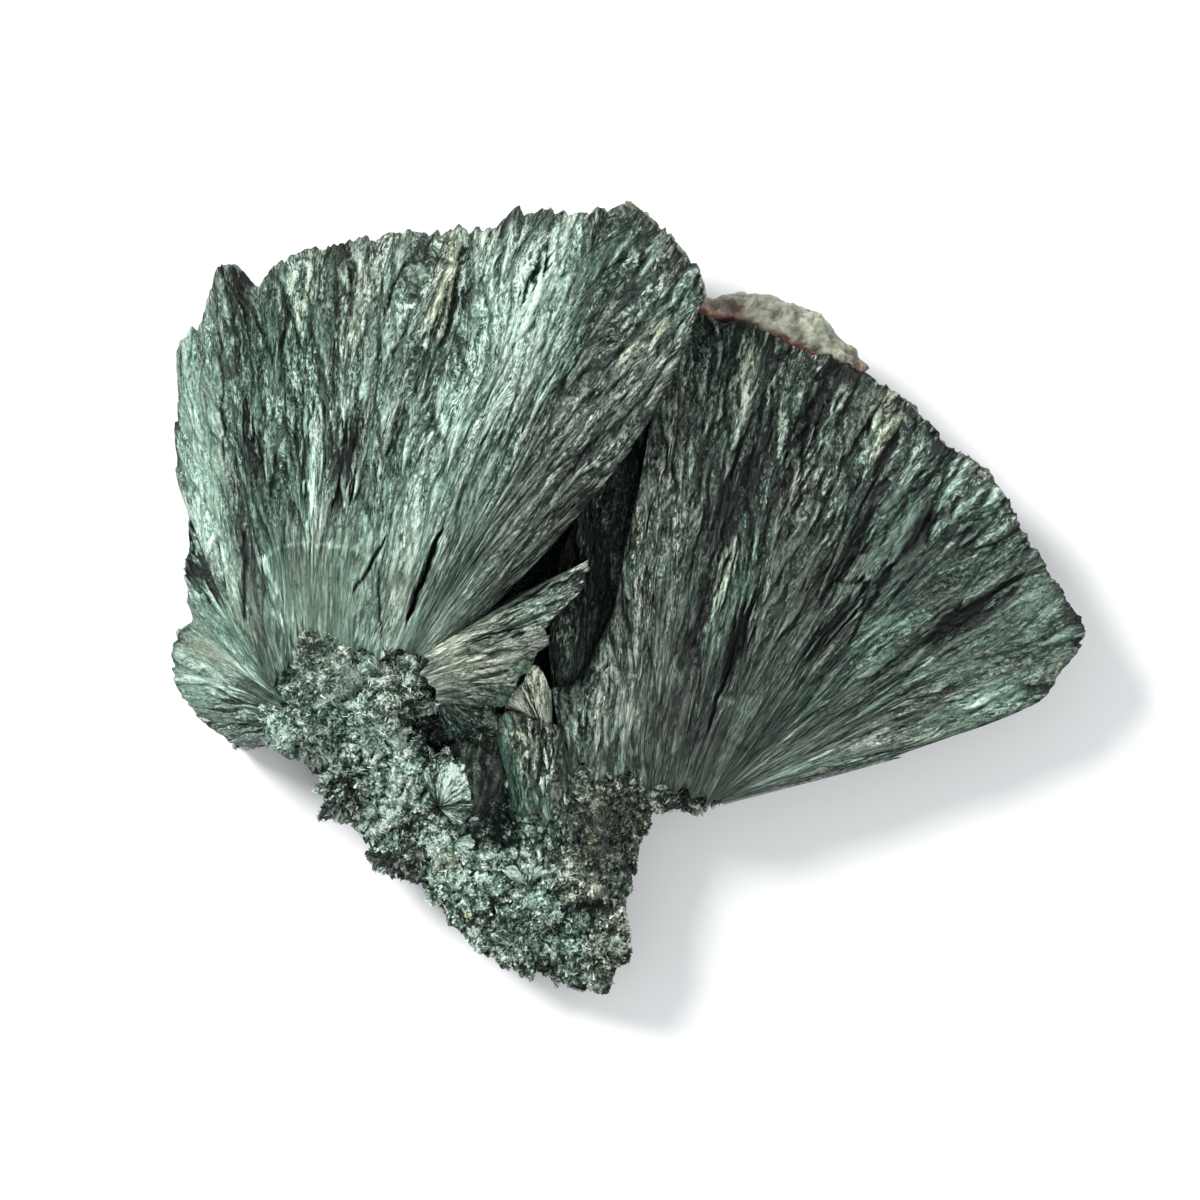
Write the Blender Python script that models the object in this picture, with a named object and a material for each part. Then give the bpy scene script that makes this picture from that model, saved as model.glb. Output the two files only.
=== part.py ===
"""A hand specimen of seraphinite lying on its back.

Two big fans of silky fibres, a small fan and a side lobe spread from a granular root mass,
all grown together as one solid. A rind of pale calcite coats part of the outer rim.

The resting face is z = 0, +X runs along the longest side and +Z is the face that shows.
Outlines and heights below are in millimetres.
"""
import math

import bmesh
import bpy
from mathutils import Matrix, Vector, noise

MM = 0.001

# Each ray of a fan: where its fibres start and where they break off at the rim,
# as (x, y, height) and (x, y, height).
LEFT_FAN = [
    ((-45.0, -12.2, 12.0), (-54.2, 12.0, 8.5)),
    ((-44.6, -11.7, 17.0), (-54.8, 15.4, 13.0)),
    ((-43.7, -10.7, 18.5), (-54.7, 23.9, 14.0)),
    ((-42.8, -9.9, 20.0), (-54.3, 29.8, 16.0)),
    ((-41.7, -8.9, 21.0), (-51.5, 34.0, 19.0)),
    ((-40.7, -8.1, 21.5), (-49.1, 39.0, 21.8)),
    ((-40.1, -7.6, 21.0), (-46.6, 39.0, 20.0)),
    ((-39.4, -7.2, 20.5), (-44.5, 37.6, 19.0)),
    ((-38.5, -6.9, 20.5), (-41.2, 40.3, 20.0)),
    ((-37.4, -6.5, 21.0), (-35.8, 42.4, 21.0)),
    ((-35.8, -6.3, 21.5), (-31.2, 42.7, 22.0)),
    ((-33.4, -6.3, 22.0), (-24.8, 44.0, 23.0)),
    ((-30.4, -6.4, 22.5), (-16.8, 43.9, 24.5)),
    ((-28.5, -6.5, 23.0), (-13.4, 46.0, 26.0)),
    ((-27.3, -6.6, 23.5), (-5.8, 45.6, 28.0)),
    ((-26.6, -6.7, 23.5), (-1.5, 46.8, 27.5)),
    ((-26.2, -7.0, 23.0), (4.3, 44.0, 26.0)),
    ((-25.9, -7.2, 23.0), (8.5, 39.0, 24.5)),
    ((-25.7, -7.5, 23.0), (9.1, 35.7, 24.0)),
    ((-25.4, -7.8, 23.0), (5.0, 25.5, 22.5)),
    ((-25.2, -8.3, 22.5), (1.4, 19.5, 21.5)),
    ((-25.0, -8.9, 22.0), (-7.0, 8.8, 20.0)),
    ((-24.5, -9.9, 21.0), (-15.5, -0.3, 19.0)),
]
RIGHT_FAN = [
    ((-6.5, -20.8, 15.0), (-7.6, -11.2, 14.0)),
    ((-4.7, -21.0, 15.5), (-4.5, -5.1, 15.0)),
    ((-2.9, -21.4, 16.0), (-1.6, -0.5, 16.0)),
    ((-1.3, -21.7, 16.0), (-0.4, 6.3, 16.0)),
    ((0.1, -22.0, 16.0), (1.6, 15.4, 16.0)),
    ((1.3, -22.2, 16.0), (3.7, 26.2, 15.5)),
    ((2.5, -22.5, 16.0), (7.4, 34.4, 15.0)),
    ((3.7, -22.7, 16.0), (11.9, 33.8, 15.5)),
    ((5.2, -23.0, 16.0), (15.8, 33.0, 15.5)),
    ((6.6, -23.2, 16.0), (21.4, 29.6, 15.5)),
    ((7.8, -23.6, 15.5), (26.4, 28.2, 15.0)),
    ((9.0, -23.8, 15.0), (31.1, 25.4, 14.5)),
    ((9.7, -23.9, 15.0), (34.5, 22.4, 14.0)),
    ((9.9, -24.1, 14.5), (39.0, 18.1, 13.5)),
    ((10.1, -24.2, 14.0), (45.3, 13.0, 12.5)),
    ((10.3, -24.4, 13.5), (48.6, 6.5, 12.0)),
    ((10.5, -24.4, 13.0), (52.2, 0.7, 11.5)),
    ((10.6, -24.5, 12.5), (55.2, -3.5, 11.0)),
    ((10.9, -24.6, 12.5), (52.8, -8.6, 10.5)),
    ((11.1, -24.7, 12.0), (48.7, -13.2, 10.0)),
    ((11.4, -24.9, 11.5), (32.9, -19.1, 9.5)),
    ((11.6, -25.1, 7.0), (31.0, -19.9, 6.0)),
]
SMALL_FAN = [
    ((-25.0, -6.9, 23.0), (-4.9, 4.5, 22.0)),
    ((-24.5, -7.9, 24.0), (-6.1, 0.7, 22.5)),
    ((-24.0, -8.9, 24.5), (-9.7, -2.9, 23.0)),
    ((-23.6, -9.8, 24.5), (-9.9, -5.3, 23.0)),
    ((-23.3, -10.8, 24.0), (-11.8, -7.5, 22.0)),
    ((-22.9, -11.8, 23.0), (-13.8, -11.1, 20.5)),
    ((-22.6, -12.6, 21.0), (-15.5, -13.0, 18.0)),
]
SIDE_LOBE = [
    ((-42.4, -11.1, 19.0), (-53.3, 9.3, 12.0)),
    ((-41.8, -11.9, 20.0), (-53.7, 2.7, 12.5)),
    ((-41.4, -12.8, 20.0), (-53.1, -2.7, 14.5)),
    ((-41.1, -13.2, 20.0), (-54.7, -5.7, 14.0)),
    ((-40.9, -13.7, 19.5), (-55.1, -8.5, 13.0)),
    ((-40.7, -14.2, 19.0), (-54.1, -12.0, 12.5)),
    ((-40.5, -14.7, 18.0), (-51.9, -14.6, 12.0)),
    ((-40.3, -15.3, 17.0), (-48.6, -17.4, 11.0)),
    ((-39.9, -16.0, 16.0), (-45.7, -18.3, 10.5)),
]

# The core under the fans and the root mass, which carries the resting face. It starts a
# little below the rest plane, where the floor cuts it flat.
CORE_OUTLINE = [
    (-40.0, -14.0), (-43.0, -4.0), (-41.0, 6.0), (-37.0, 13.0), (-31.0, 21.0), (-20.0, 23.0),
    (-9.0, 26.0), (1.0, 24.0), (9.0, 19.0), (15.0, 14.0), (24.0, 10.0), (30.0, 2.0),
    (35.0, -4.0), (31.0, -11.0), (19.0, -15.0), (6.0, -19.0), (-1.0, -27.0), (-4.0, -36.0),
    (-7.0, -40.0), (-15.0, -36.0), (-22.0, -30.0), (-30.0, -22.0),
]
CORE_TOP = 9.0
BELOW_REST = 2.0

# The broken slope of the root mass, from the fans' feet down to its own edge.
ROOT_SLOPE = [
    ((-44.1, -11.1, 17.0), (-48.2, -18.2, 8.0)),
    ((-42.5, -12.3, 17.5), (-43.5, -18.5, 8.5)),
    ((-39.5, -12.6, 18.0), (-38.9, -20.4, 9.0)),
    ((-35.9, -12.5, 18.5), (-37.8, -22.8, 9.0)),
    ((-33.5, -12.9, 18.5), (-36.3, -25.8, 9.0)),
    ((-31.1, -13.5, 18.5), (-33.3, -27.3, 9.0)),
    ((-28.7, -14.7, 18.0), (-31.4, -30.0, 8.5)),
    ((-26.3, -16.2, 18.0), (-29.4, -31.6, 8.5)),
    ((-23.9, -17.7, 17.5), (-27.1, -34.0, 8.5)),
    ((-21.5, -19.2, 17.0), (-24.0, -37.2, 8.0)),
    ((-18.5, -20.5, 16.5), (-20.2, -40.0, 8.0)),
    ((-15.5, -21.4, 16.0), (-15.6, -44.0, 7.5)),
    ((-12.5, -21.7, 16.0), (-11.7, -45.2, 8.0)),
    ((-9.5, -21.8, 15.5), (-7.8, -46.3, 8.0)),
    ((-6.9, -21.4, 15.5), (-3.2, -47.6, 8.0)),
    ((-4.9, -20.8, 15.5), (-1.6, -45.6, 9.0)),
    ((-3.9, -20.3, 15.5), (0.2, -43.8, 9.5)),
    ((-3.3, -20.1, 15.5), (-0.4, -39.0, 10.0)),
    ((-2.7, -20.1, 15.5), (0.2, -35.4, 10.0)),
    ((-2.0, -20.1, 15.5), (1.0, -32.0, 10.0)),
    ((-1.3, -20.3, 15.0), (2.4, -27.4, 9.5)),
    ((-0.4, -20.8, 15.0), (3.8, -26.0, 9.5)),
    ((1.6, -21.4, 14.5), (7.4, -25.2, 9.5)),
    ((3.5, -22.0, 14.0), (10.8, -24.6, 9.0)),
]

# How roughly every fan breaks off: the teeth of its rim, then the wall under the rim as
# shares of its drop with the lean outwards there. Short rays have a weaker wall.
TOOTH_SPACING = 2.1
TOOTH_DEPTH = 0.7
WALL = [(0.25, 0.5), (0.55, 0.1), (0.8, -0.8), (1.0, -2.8)]
WALL_GRAIN = 3.0
WALL_ROUGHNESS = 1.3
FULL_WALL_REACH = 12.0
LEAST_WALL = 3.0
FOOT_WAVE = 9.0
FOOT_SWING = 1.6
# The underside bends and levels out at these shares of a ray, and dips a little at its root.
UNDERSIDE = (0.72, 0.45)
ROOT_DIP = 0.3
# The share of the relief that is left where the fibres start.
CALM_ROOT = 0.25

# Lumps that stand out of the root slope: (x, y, z) of the middle, then the three half widths.
LUMPS = [
    ((-40.5, -13.0, 12.0), (5.5, 5.5, 8.6)),
    ((-35.8, -8.9, 17.0), (5.8, 5.2, 5.6)),
    ((-26.9, -12.3, 18.0), (5.2, 5.4, 5.6)),
    ((-32.0, -13.5, 15.5), (4.6, 4.6, 5.4)),
    ((-34.0, -22.4, 9.5), (4.0, 4.8, 5.6)),
    ((-28.0, -31.0, 8.0), (3.4, 3.4, 4.6)),
    ((-18.0, -20.6, 13.5), (4.4, 7.8, 6.6)),
    ((-11.9, -18.6, 13.5), (3.5, 7.4, 6.2)),
    ((-20.5, -12.6, 11.0), (6.5, 5.0, 7.0)),
    ((-12.6, -38.8, 9.5), (4.6, 3.8, 4.0)),
    ((-3.4, -43.0, 9.0), (3.4, 3.8, 3.6)),
    ((4.6, -23.6, 9.0), (4.4, 2.4, 4.6)),
]
LARGE_LUMP = 7.0
KNOB_DEPTH = 0.2

# Rosettes of radiating blades: middle, radius, then the way each one faces.
ROSETTES = [
    ((-22.6, -23.2, 15.6), 4.7, (-0.34, 0.14, 1.0)),
    ((-11.6, -32.8, 12.4), 3.7, (-0.1, 0.42, 1.0)),
    ((-8.9, -25.4, 13.6), 3.3, (-0.45, 0.1, 1.0)),
    ((-28.4, -17.8, 16.6), 2.7, (0.2, -0.1, 1.0)),
]
# Each is a flared stub with a domed top; every second corner of its rim is a notch. These
# are shares of its radius.
ROSETTE_BLADES = 14
STUB_SHARE = 0.7
DOME_RISE = 0.22
NOTCH_IN = 0.82
NOTCH_DOWN = 0.12

# The pale cleavage block: middle, size, turn about the vertical and tilt, in degrees.
BLOCK_MIDDLE = (-11.4, -13.2, 17.6)
BLOCK_SIZE = (4.4, 6.0, 6.4)
BLOCK_TURN = 24
BLOCK_TILT = 14

# Calcite rind: at each station its inner and its outer edge, then its foot and its top.
RIND = [
    ((-1.6, 44.6), (-0.6, 47.3), 13.0, 20.0),
    ((1.4, 43.6), (2.6, 46.9), 10.0, 21.5),
    ((4.2, 41.4), (6.0, 44.4), 8.0, 21.5),
    ((7.0, 38.2), (9.3, 40.4), 6.5, 20.5),
    ((8.2, 34.9), (10.6, 37.0), 5.5, 17.5),
    ((11.6, 33.3), (12.6, 36.7), 5.0, 14.6),
    ((15.2, 32.6), (16.6, 37.1), 4.5, 14.8),
    ((18.4, 31.0), (20.4, 35.6), 4.5, 14.6),
    ((21.6, 29.3), (24.2, 33.0), 5.0, 14.4),
    ((25.4, 28.0), (27.4, 30.6), 5.5, 14.0),
    ((28.2, 26.6), (29.7, 28.0), 7.0, 13.2),
]
RIND_STATIONS = 31
GAP = 0.3

# The share of its faces that the stone keeps once the slivers of its Booleans are gone.
THIN_TO = 0.74
FLOOR_SIZE = 200.0

FAN_COLOUR = (0.13, 0.19, 0.15, 1.0)
CALCITE_COLOUR = (0.55, 0.55, 0.48, 1.0)


def clear_scene():
    for item in list(bpy.data.objects):
        bpy.data.objects.remove(item, do_unlink=True)


def new_collection(name):
    group = bpy.data.collections.new(name)
    bpy.context.scene.collection.children.link(group)
    return group


def mesh_object(name, mesh_builder, group):
    """Turn a bmesh in millimetres into an object in metres."""
    bmesh.ops.scale(mesh_builder, vec=(MM, MM, MM), verts=mesh_builder.verts)
    bmesh.ops.recalc_face_normals(mesh_builder, faces=mesh_builder.faces)
    mesh = bpy.data.meshes.new(name)
    mesh_builder.to_mesh(mesh)
    mesh_builder.free()
    item = bpy.data.objects.new(name, mesh)
    group.objects.link(item)
    return item


def evaluated_mesh(item):
    """A plain mesh of an object with its modifiers applied."""
    bpy.context.view_layer.update()
    found = item.evaluated_get(bpy.context.evaluated_depsgraph_get())
    return bpy.data.meshes.new_from_object(found)


def stone_material(name, colour, roughness):
    material = bpy.data.materials.new(name)
    material.use_nodes = True
    shader = material.node_tree.nodes["Principled BSDF"]
    shader.inputs["Base Color"].default_value = colour
    shader.inputs["Roughness"].default_value = roughness
    shader.inputs["Metallic"].default_value = 0.0
    return material


def smooth_between(values, place):
    """Catmull-Rom through equally long tuples; place runs from 0 to len(values) - 1."""
    last = len(values) - 1
    index = min(int(place), last - 1)
    t = place - index
    before, here = values[max(index - 1, 0)], values[index]
    after, beyond = values[index + 1], values[min(index + 2, last)]
    result = []
    for a, b, c, d in zip(before, here, after, beyond):
        curve = 2 * b + (c - a) * t + (2 * a - 5 * b + 4 * c - d) * t * t
        result.append(0.5 * (curve + (3 * b - a - 3 * c + d) * t ** 3))
    return result


def spread_rays(rays, count):
    """Rays at even steps along the rim, each as start, end and rim distance."""
    flat = [start + end for start, end in rays]
    steps = 600
    fine = [smooth_between(flat, i * (len(flat) - 1) / steps) for i in range(steps + 1)]
    travelled = [0.0]
    for a, b in zip(fine, fine[1:]):
        travelled.append(travelled[-1] + math.hypot(b[3] - a[3], b[4] - a[4]))
    result = []
    index = 0
    for column in range(count):
        target = travelled[-1] * column / (count - 1)
        while index < steps - 1 and travelled[index + 1] < target:
            index += 1
        values = fine[index + 1] if column == count - 1 else fine[index]
        result.append((Vector(values[:3]), Vector(values[3:]), target))
    return result


def plume_relief(along_rim, outward, seed):
    """Overlapping feathers: long soft ridges, broken by flat steps."""
    ridge_width, ridge_length, ridge_height = 4.6, 26.0, 1.7
    step_width, step_length, step_height, stagger = 5.2, 15.0, 0.8, 3.0
    ridge = noise.noise(Vector((along_rim / ridge_width, outward / ridge_length, seed)))
    column = along_rim / step_width
    shift = stagger * noise.cell(Vector((math.floor(column), 0.5, seed + 3.0)))
    step = noise.cell(Vector((column, outward / step_length + shift, seed + 7.0)))
    return ridge_height * ridge + step_height * step


def grain_relief(along_rim, outward, seed):
    """Coarse broken grain with no direction, for the root mass."""
    relief = 0.0
    for size, height, shift in ((4.2, 1.7, 0.0), (1.9, 2.0, 4.0)):
        relief += height * noise.noise(Vector((along_rim / size, outward / size, seed + shift)))
    return relief


def closed_loft(name, loops, group, ngons="BEAUTY"):
    """Join closed rings of corners into a solid with a cap at both ends."""
    builder = bmesh.new()
    rings = [[builder.verts.new(corner) for corner in loop] for loop in loops]
    for left, right in zip(rings, rings[1:]):
        for i in range(len(left)):
            j = (i + 1) % len(left)
            builder.faces.new((left[i], left[j], right[j], right[i]))
    builder.faces.new(rings[0])
    builder.faces.new(rings[-1])
    bmesh.ops.triangulate(builder, faces=builder.faces, ngon_method=ngons)
    return mesh_object(name, builder, group)


def fan_solid(name, fan, group):
    """Loft a fan: top along the fibres, a rough rim wall, and an underside that rises."""
    loops = []
    seed = fan["seed"]
    for start, end, rim in spread_rays(fan["rays"], fan["columns"]):
        reach = (end.xy - start.xy).length
        heading = (end.xy - start.xy) / reach
        tooth = TOOTH_DEPTH * noise.noise(Vector((rim / TOOTH_SPACING, 0.0, seed + 11.0)))
        profile = []
        for row in range(fan["rows"] + 1):
            t = row / fan["rows"]
            out = reach * t + tooth * t * t
            bump = fan["relief"] * fan["pattern"](rim, out, seed) * min(1.0, CALM_ROOT + t)
            height = start.z + (end.z - start.z) * t + fan["arch"] * 4 * t * (1 - t) + bump
            profile.append((out, height))
        top = profile[-1][1]
        foot = fan["rim_low"] + FOOT_SWING * noise.noise(Vector((rim / FOOT_WAVE, 2.0, seed)))
        foot = min(foot, top - LEAST_WALL)
        for fraction, lean in WALL:
            spot = Vector((rim / WALL_GRAIN, fraction * 4.0, seed + 5.0))
            rough = WALL_ROUGHNESS * noise.noise(spot)
            edge = reach + tooth + (lean + rough) * min(1.0, reach / FULL_WALL_REACH)
            profile.append((edge, top + (foot - top) * fraction))
        bend, level = UNDERSIDE
        root_low = fan["root_low"]
        profile.append((reach * bend, foot * 0.55 + root_low * 0.45))
        profile.append((reach * level, root_low))
        profile.append((0.0, root_low - ROOT_DIP))
        loop = []
        for out, height in profile:
            place = start.xy + heading * out
            loop.append((place.x, place.y, height))
        loops.append(loop)
    return closed_loft(name, loops, group, "EAR_CLIP")


def core_solid(group):
    """The flat outline of the core, extruded and made a mesh."""
    curve = bpy.data.curves.new("core", "CURVE")
    curve.dimensions = "2D"
    curve.fill_mode = "BOTH"
    curve.extrude = (CORE_TOP + BELOW_REST) / 2 * MM
    line = curve.splines.new("POLY")
    line.points.add(len(CORE_OUTLINE) - 1)
    for point, (x, y) in zip(line.points, CORE_OUTLINE):
        point.co = (x * MM, y * MM, 0.0, 1.0)
    line.use_cyclic_u = True
    outline = bpy.data.objects.new("core_outline", curve)
    group.objects.link(outline)
    outline.location.z = (CORE_TOP - BELOW_REST) / 2 * MM
    mesh = evaluated_mesh(outline)
    mesh.transform(outline.matrix_world)
    bpy.data.objects.remove(outline, do_unlink=True)
    builder = bmesh.new()
    builder.from_mesh(mesh)
    bmesh.ops.remove_doubles(builder, verts=builder.verts, dist=0.00001)
    bmesh.ops.recalc_face_normals(builder, faces=builder.faces)
    builder.to_mesh(mesh)
    builder.free()
    core = bpy.data.objects.new("core", mesh)
    group.objects.link(core)
    return core


def lump_solid(index, middle, half, group):
    """One lump of the root mass: a ball with flat spots and knobs."""
    builder = bmesh.new()
    detail = 3 if max(half) > LARGE_LUMP else 2
    bmesh.ops.create_icosphere(builder, subdivisions=detail, radius=1.0)
    for vert in builder.verts:
        way = vert.co.normalized()
        knob = noise.noise(way * 1.9 + Vector((index * 3.1, 0.0, 0.0)))
        grain = noise.noise(way * 4.3 + Vector((0.0, index * 2.7, 0.0)))
        swell = 1.0 + KNOB_DEPTH * (knob + grain)
        vert.co = Vector(w * h * swell + m for w, h, m in zip(way, half, middle))
    return mesh_object(f"lump_{index}", builder, group)


def rosette_solid(index, middle, radius, facing, group):
    """A small low cone of blades round a raised middle, set on a stub."""
    builder = bmesh.new()
    bmesh.ops.create_cone(builder, cap_ends=True, segments=2 * ROSETTE_BLADES,
                          radius1=radius * STUB_SHARE, radius2=radius, depth=radius)
    bmesh.ops.poke(builder, faces=[f for f in builder.faces if len(f.verts) > 4])
    for vert in builder.verts:
        turn = round(math.atan2(vert.co.y, vert.co.x) / math.pi * ROSETTE_BLADES)
        if vert.co.z < 0:
            continue
        if vert.co.xy.length < radius * 0.1:
            vert.co.z += radius * DOME_RISE
        elif turn % 2:
            vert.co.x *= NOTCH_IN
            vert.co.y *= NOTCH_IN
            vert.co.z -= radius * NOTCH_DOWN
    spin = Vector((0, 0, 1)).rotation_difference(Vector(facing).normalized())
    bmesh.ops.rotate(builder, verts=builder.verts, matrix=spin.to_matrix())
    bmesh.ops.translate(builder, verts=builder.verts, vec=Vector(middle))
    return mesh_object(f"rosette_{index}", builder, group)


def block_solid(group):
    """The pale cleavage block that stands in the root mass."""
    builder = bmesh.new()
    bmesh.ops.create_cube(builder, size=1.0)
    bmesh.ops.scale(builder, verts=builder.verts, vec=BLOCK_SIZE)
    turn = Matrix.Rotation(math.radians(BLOCK_TURN), 3, "Z")
    tilt = Matrix.Rotation(math.radians(BLOCK_TILT), 3, "X")
    bmesh.ops.rotate(builder, verts=builder.verts, matrix=turn @ tilt)
    bmesh.ops.translate(builder, verts=builder.verts, vec=Vector(BLOCK_MIDDLE))
    return mesh_object("block", builder, group)


def rind_solid(name, grow, group):
    """Loft the calcite rind; grow makes the slightly bigger form that it sits in."""
    flat = [inner + outer + (low, high) for inner, outer, low, high in RIND]
    loops = []
    for station in range(RIND_STATIONS):
        share = station / (RIND_STATIONS - 1)
        values = smooth_between(flat, share * (len(flat) - 1))
        inner, outer = Vector(values[:2]), Vector(values[2:4])
        low, high = values[4:]
        across = (outer - inner).normalized()
        wide = (outer - inner).length
        lump = noise.noise(Vector((station * 0.45, 3.0, 1.0)))
        fine = noise.noise(Vector((station * 0.9, 8.0, 2.0)))
        section = [
            (0.0, low), (0.0, high), (0.45 * wide, high + 0.3 * fine),
            (0.85 * wide, high - 0.8 + 0.5 * lump), (wide, 0.7 * high + 0.3 * low),
            (0.95 * wide + 0.5 * lump, 0.4 * high + 0.6 * low), (0.6 * wide, low),
        ]
        loop = []
        for out, height in section:
            out += grow if out > wide / 2 else -grow
            height += grow if height > (low + high) / 2 else -grow
            place = inner + across * out
            loop.append(Vector((place.x, place.y, height)))
        loops.append(loop)
    for end, beside in ((loops[0], loops[1]), (loops[-1], loops[-2])):
        step = (end[0] - beside[0]).normalized() * grow
        for corner in end:
            corner += step
    return closed_loft(name, loops, group)


def boolean(target, other, operation):
    """Apply one Boolean and remove the other object. Exact drops the body on these lofts."""
    change = target.modifiers.new(operation.lower(), "BOOLEAN")
    change.operation = operation
    change.solver = "MANIFOLD"
    change.object = other
    mesh = evaluated_mesh(target)
    target.modifiers.remove(change)
    target.data = mesh
    bpy.data.objects.remove(other, do_unlink=True)


def keep_outer_shell(item):
    """Keep the largest connected shell, which fills closed pockets between lumps."""
    builder = bmesh.new()
    builder.from_mesh(item.data)
    left = set(builder.verts)
    shells = []
    while left:
        stack = [left.pop()]
        shell = []
        while stack:
            vert = stack.pop()
            shell.append(vert)
            for edge in vert.link_edges:
                other = edge.other_vert(vert)
                if other in left:
                    left.remove(other)
                    stack.append(other)
        shells.append(shell)
    shells.sort(key=len)
    for shell in shells[:-1]:
        bmesh.ops.delete(builder, geom=shell, context="VERTS")
    builder.to_mesh(item.data)
    builder.free()


def thin_faces(item, ratio):
    """Collapse the slivers that the Booleans leave, down to a share of the faces."""
    builder = bmesh.new()
    builder.from_mesh(item.data)
    bmesh.ops.triangulate(builder, faces=builder.faces)
    builder.to_mesh(item.data)
    builder.free()
    change = item.modifiers.new("thin", "DECIMATE")
    change.ratio = ratio
    mesh = evaluated_mesh(item)
    item.modifiers.remove(change)
    item.data = mesh


# How each fan is lofted: its rays, columns along the rim and rows along the fibres, how rough
# its top is and in what pattern, the height of its underside at the rim and at the root, how
# far its top arches up, and the seed of its relief.
FANS = {
    "left_fan": dict(rays=LEFT_FAN, columns=60, rows=12, relief=1.2, pattern=plume_relief,
                     rim_low=6.0, root_low=-2.4, arch=0.4, seed=2.0),
    "right_fan": dict(rays=RIGHT_FAN, columns=56, rows=12, relief=1.5, pattern=plume_relief,
                      rim_low=4.0, root_low=-3.1, arch=0.8, seed=31.0),
    "small_fan": dict(rays=SMALL_FAN, columns=14, rows=6, relief=0.8, pattern=plume_relief,
                      rim_low=7.0, root_low=4.0, arch=0.3, seed=53.0),
    "side_lobe": dict(rays=SIDE_LOBE, columns=16, rows=6, relief=1.0, pattern=plume_relief,
                      rim_low=4.0, root_low=-1.1, arch=0.8, seed=71.0),
    "root_slope": dict(rays=ROOT_SLOPE, columns=56, rows=13, relief=1.0, pattern=grain_relief,
                       rim_low=1.0, root_low=-1.6, arch=1.2, seed=90.0),
}

clear_scene()
specimen = new_collection("seraphinite_specimen")

seraphinite = core_solid(specimen)
seraphinite.name = "seraphinite"
grown = [fan_solid(name, fan, specimen) for name, fan in FANS.items()]
grown.append(block_solid(specimen))
for number, (centre, half_widths) in enumerate(LUMPS):
    grown.append(lump_solid(number, centre, half_widths, specimen))
for number, (centre, size, facing) in enumerate(ROSETTES):
    grown.append(rosette_solid(number, centre, size, facing, specimen))
for piece in grown:
    boolean(seraphinite, piece, "UNION")

floor_size = FLOOR_SIZE * MM
bpy.ops.mesh.primitive_cube_add(size=floor_size, location=(0.0, 0.0, -floor_size / 2))
boolean(seraphinite, bpy.context.object, "DIFFERENCE")
boolean(seraphinite, rind_solid("rind_seat", GAP, specimen), "DIFFERENCE")
keep_outer_shell(seraphinite)
thin_faces(seraphinite, THIN_TO)
calcite = rind_solid("calcite", 0.0, specimen)

for piece, paint in (
    (seraphinite, stone_material("silky_seraphinite", FAN_COLOUR, 0.45)),
    (calcite, stone_material("massive_calcite", CALCITE_COLOUR, 0.6)),
):
    piece.data.materials.clear()
    piece.data.materials.append(paint)

# The specimen is centred over the origin, with its resting face on the ground.
corners = [vert.co for piece in (seraphinite, calcite) for vert in piece.data.vertices]
middle_x = (min(c.x for c in corners) + max(c.x for c in corners)) / 2
middle_y = (min(c.y for c in corners) + max(c.y for c in corners)) / 2
lowest = min(c.z for c in corners)
for piece in (seraphinite, calcite):
    piece.data.transform(Matrix.Translation((-middle_x, -middle_y, -lowest)))
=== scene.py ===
"""The looks of the seraphinite specimen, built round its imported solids."""

import math

import bmesh
import bpy
import numpy as np
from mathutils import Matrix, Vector


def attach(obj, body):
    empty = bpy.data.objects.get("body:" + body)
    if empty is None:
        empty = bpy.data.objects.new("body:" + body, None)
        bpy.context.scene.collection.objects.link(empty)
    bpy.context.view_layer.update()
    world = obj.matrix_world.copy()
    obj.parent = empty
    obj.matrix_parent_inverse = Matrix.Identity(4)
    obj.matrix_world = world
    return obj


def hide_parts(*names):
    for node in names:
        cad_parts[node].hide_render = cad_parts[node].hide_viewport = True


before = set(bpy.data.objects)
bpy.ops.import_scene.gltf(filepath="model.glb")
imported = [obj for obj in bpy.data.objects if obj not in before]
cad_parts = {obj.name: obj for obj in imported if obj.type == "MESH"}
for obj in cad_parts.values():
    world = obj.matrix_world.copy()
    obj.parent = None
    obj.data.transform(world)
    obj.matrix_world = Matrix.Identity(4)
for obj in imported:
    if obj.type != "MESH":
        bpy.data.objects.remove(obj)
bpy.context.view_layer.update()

# ---------------------------------------------------------------- studio
# The specimen lies on its back on a matt white card. The camera looks straight down at it, a
# big soft lamp to the upper left rakes over the fibres and a weaker one fills from the right.
# Places and sizes are in metres here, and the lens and sensor are in mm.
MM = 0.001
LENS = 200.0
SENSOR = 36.0
FRAME_WIDTH = 144.75 * MM
FOCUS_HEIGHT = 15.0 * MM
VIEW_MIDDLE = (-3.5 * MM, 0.15 * MM)
SKY_STRENGTH = 0.55
CARD_WIDTH = 4.0

scene = bpy.context.scene
scene.view_settings.view_transform = "Standard"

eye = bpy.data.cameras.new("camera")
eye.lens = LENS
eye.sensor_width = SENSOR
eye.clip_start = 0.01
eye.clip_end = 20.0
camera = bpy.data.objects.new("camera", eye)
camera.location = (*VIEW_MIDDLE, FOCUS_HEIGHT + FRAME_WIDTH * LENS / SENSOR)
scene.collection.objects.link(camera)
scene.camera = camera


def lamp(name, place, aim, size, watts):
    light = bpy.data.lights.new(name, "AREA")
    light.shape = "DISK"
    light.size = size
    light.energy = watts
    item = bpy.data.objects.new(name, light)
    item.location = place
    item.rotation_euler = (Vector(aim) - Vector(place)).to_track_quat("-Z", "Y").to_euler()
    scene.collection.objects.link(item)


lamp("key", place=(-0.6, 0.5, 0.62), aim=(0.0, 0.0, 0.01), size=0.42, watts=13.5)
lamp("fill", place=(0.45, -0.3, 0.85), aim=(0.0, 0.0, 0.0), size=0.9, watts=4.0)

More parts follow.
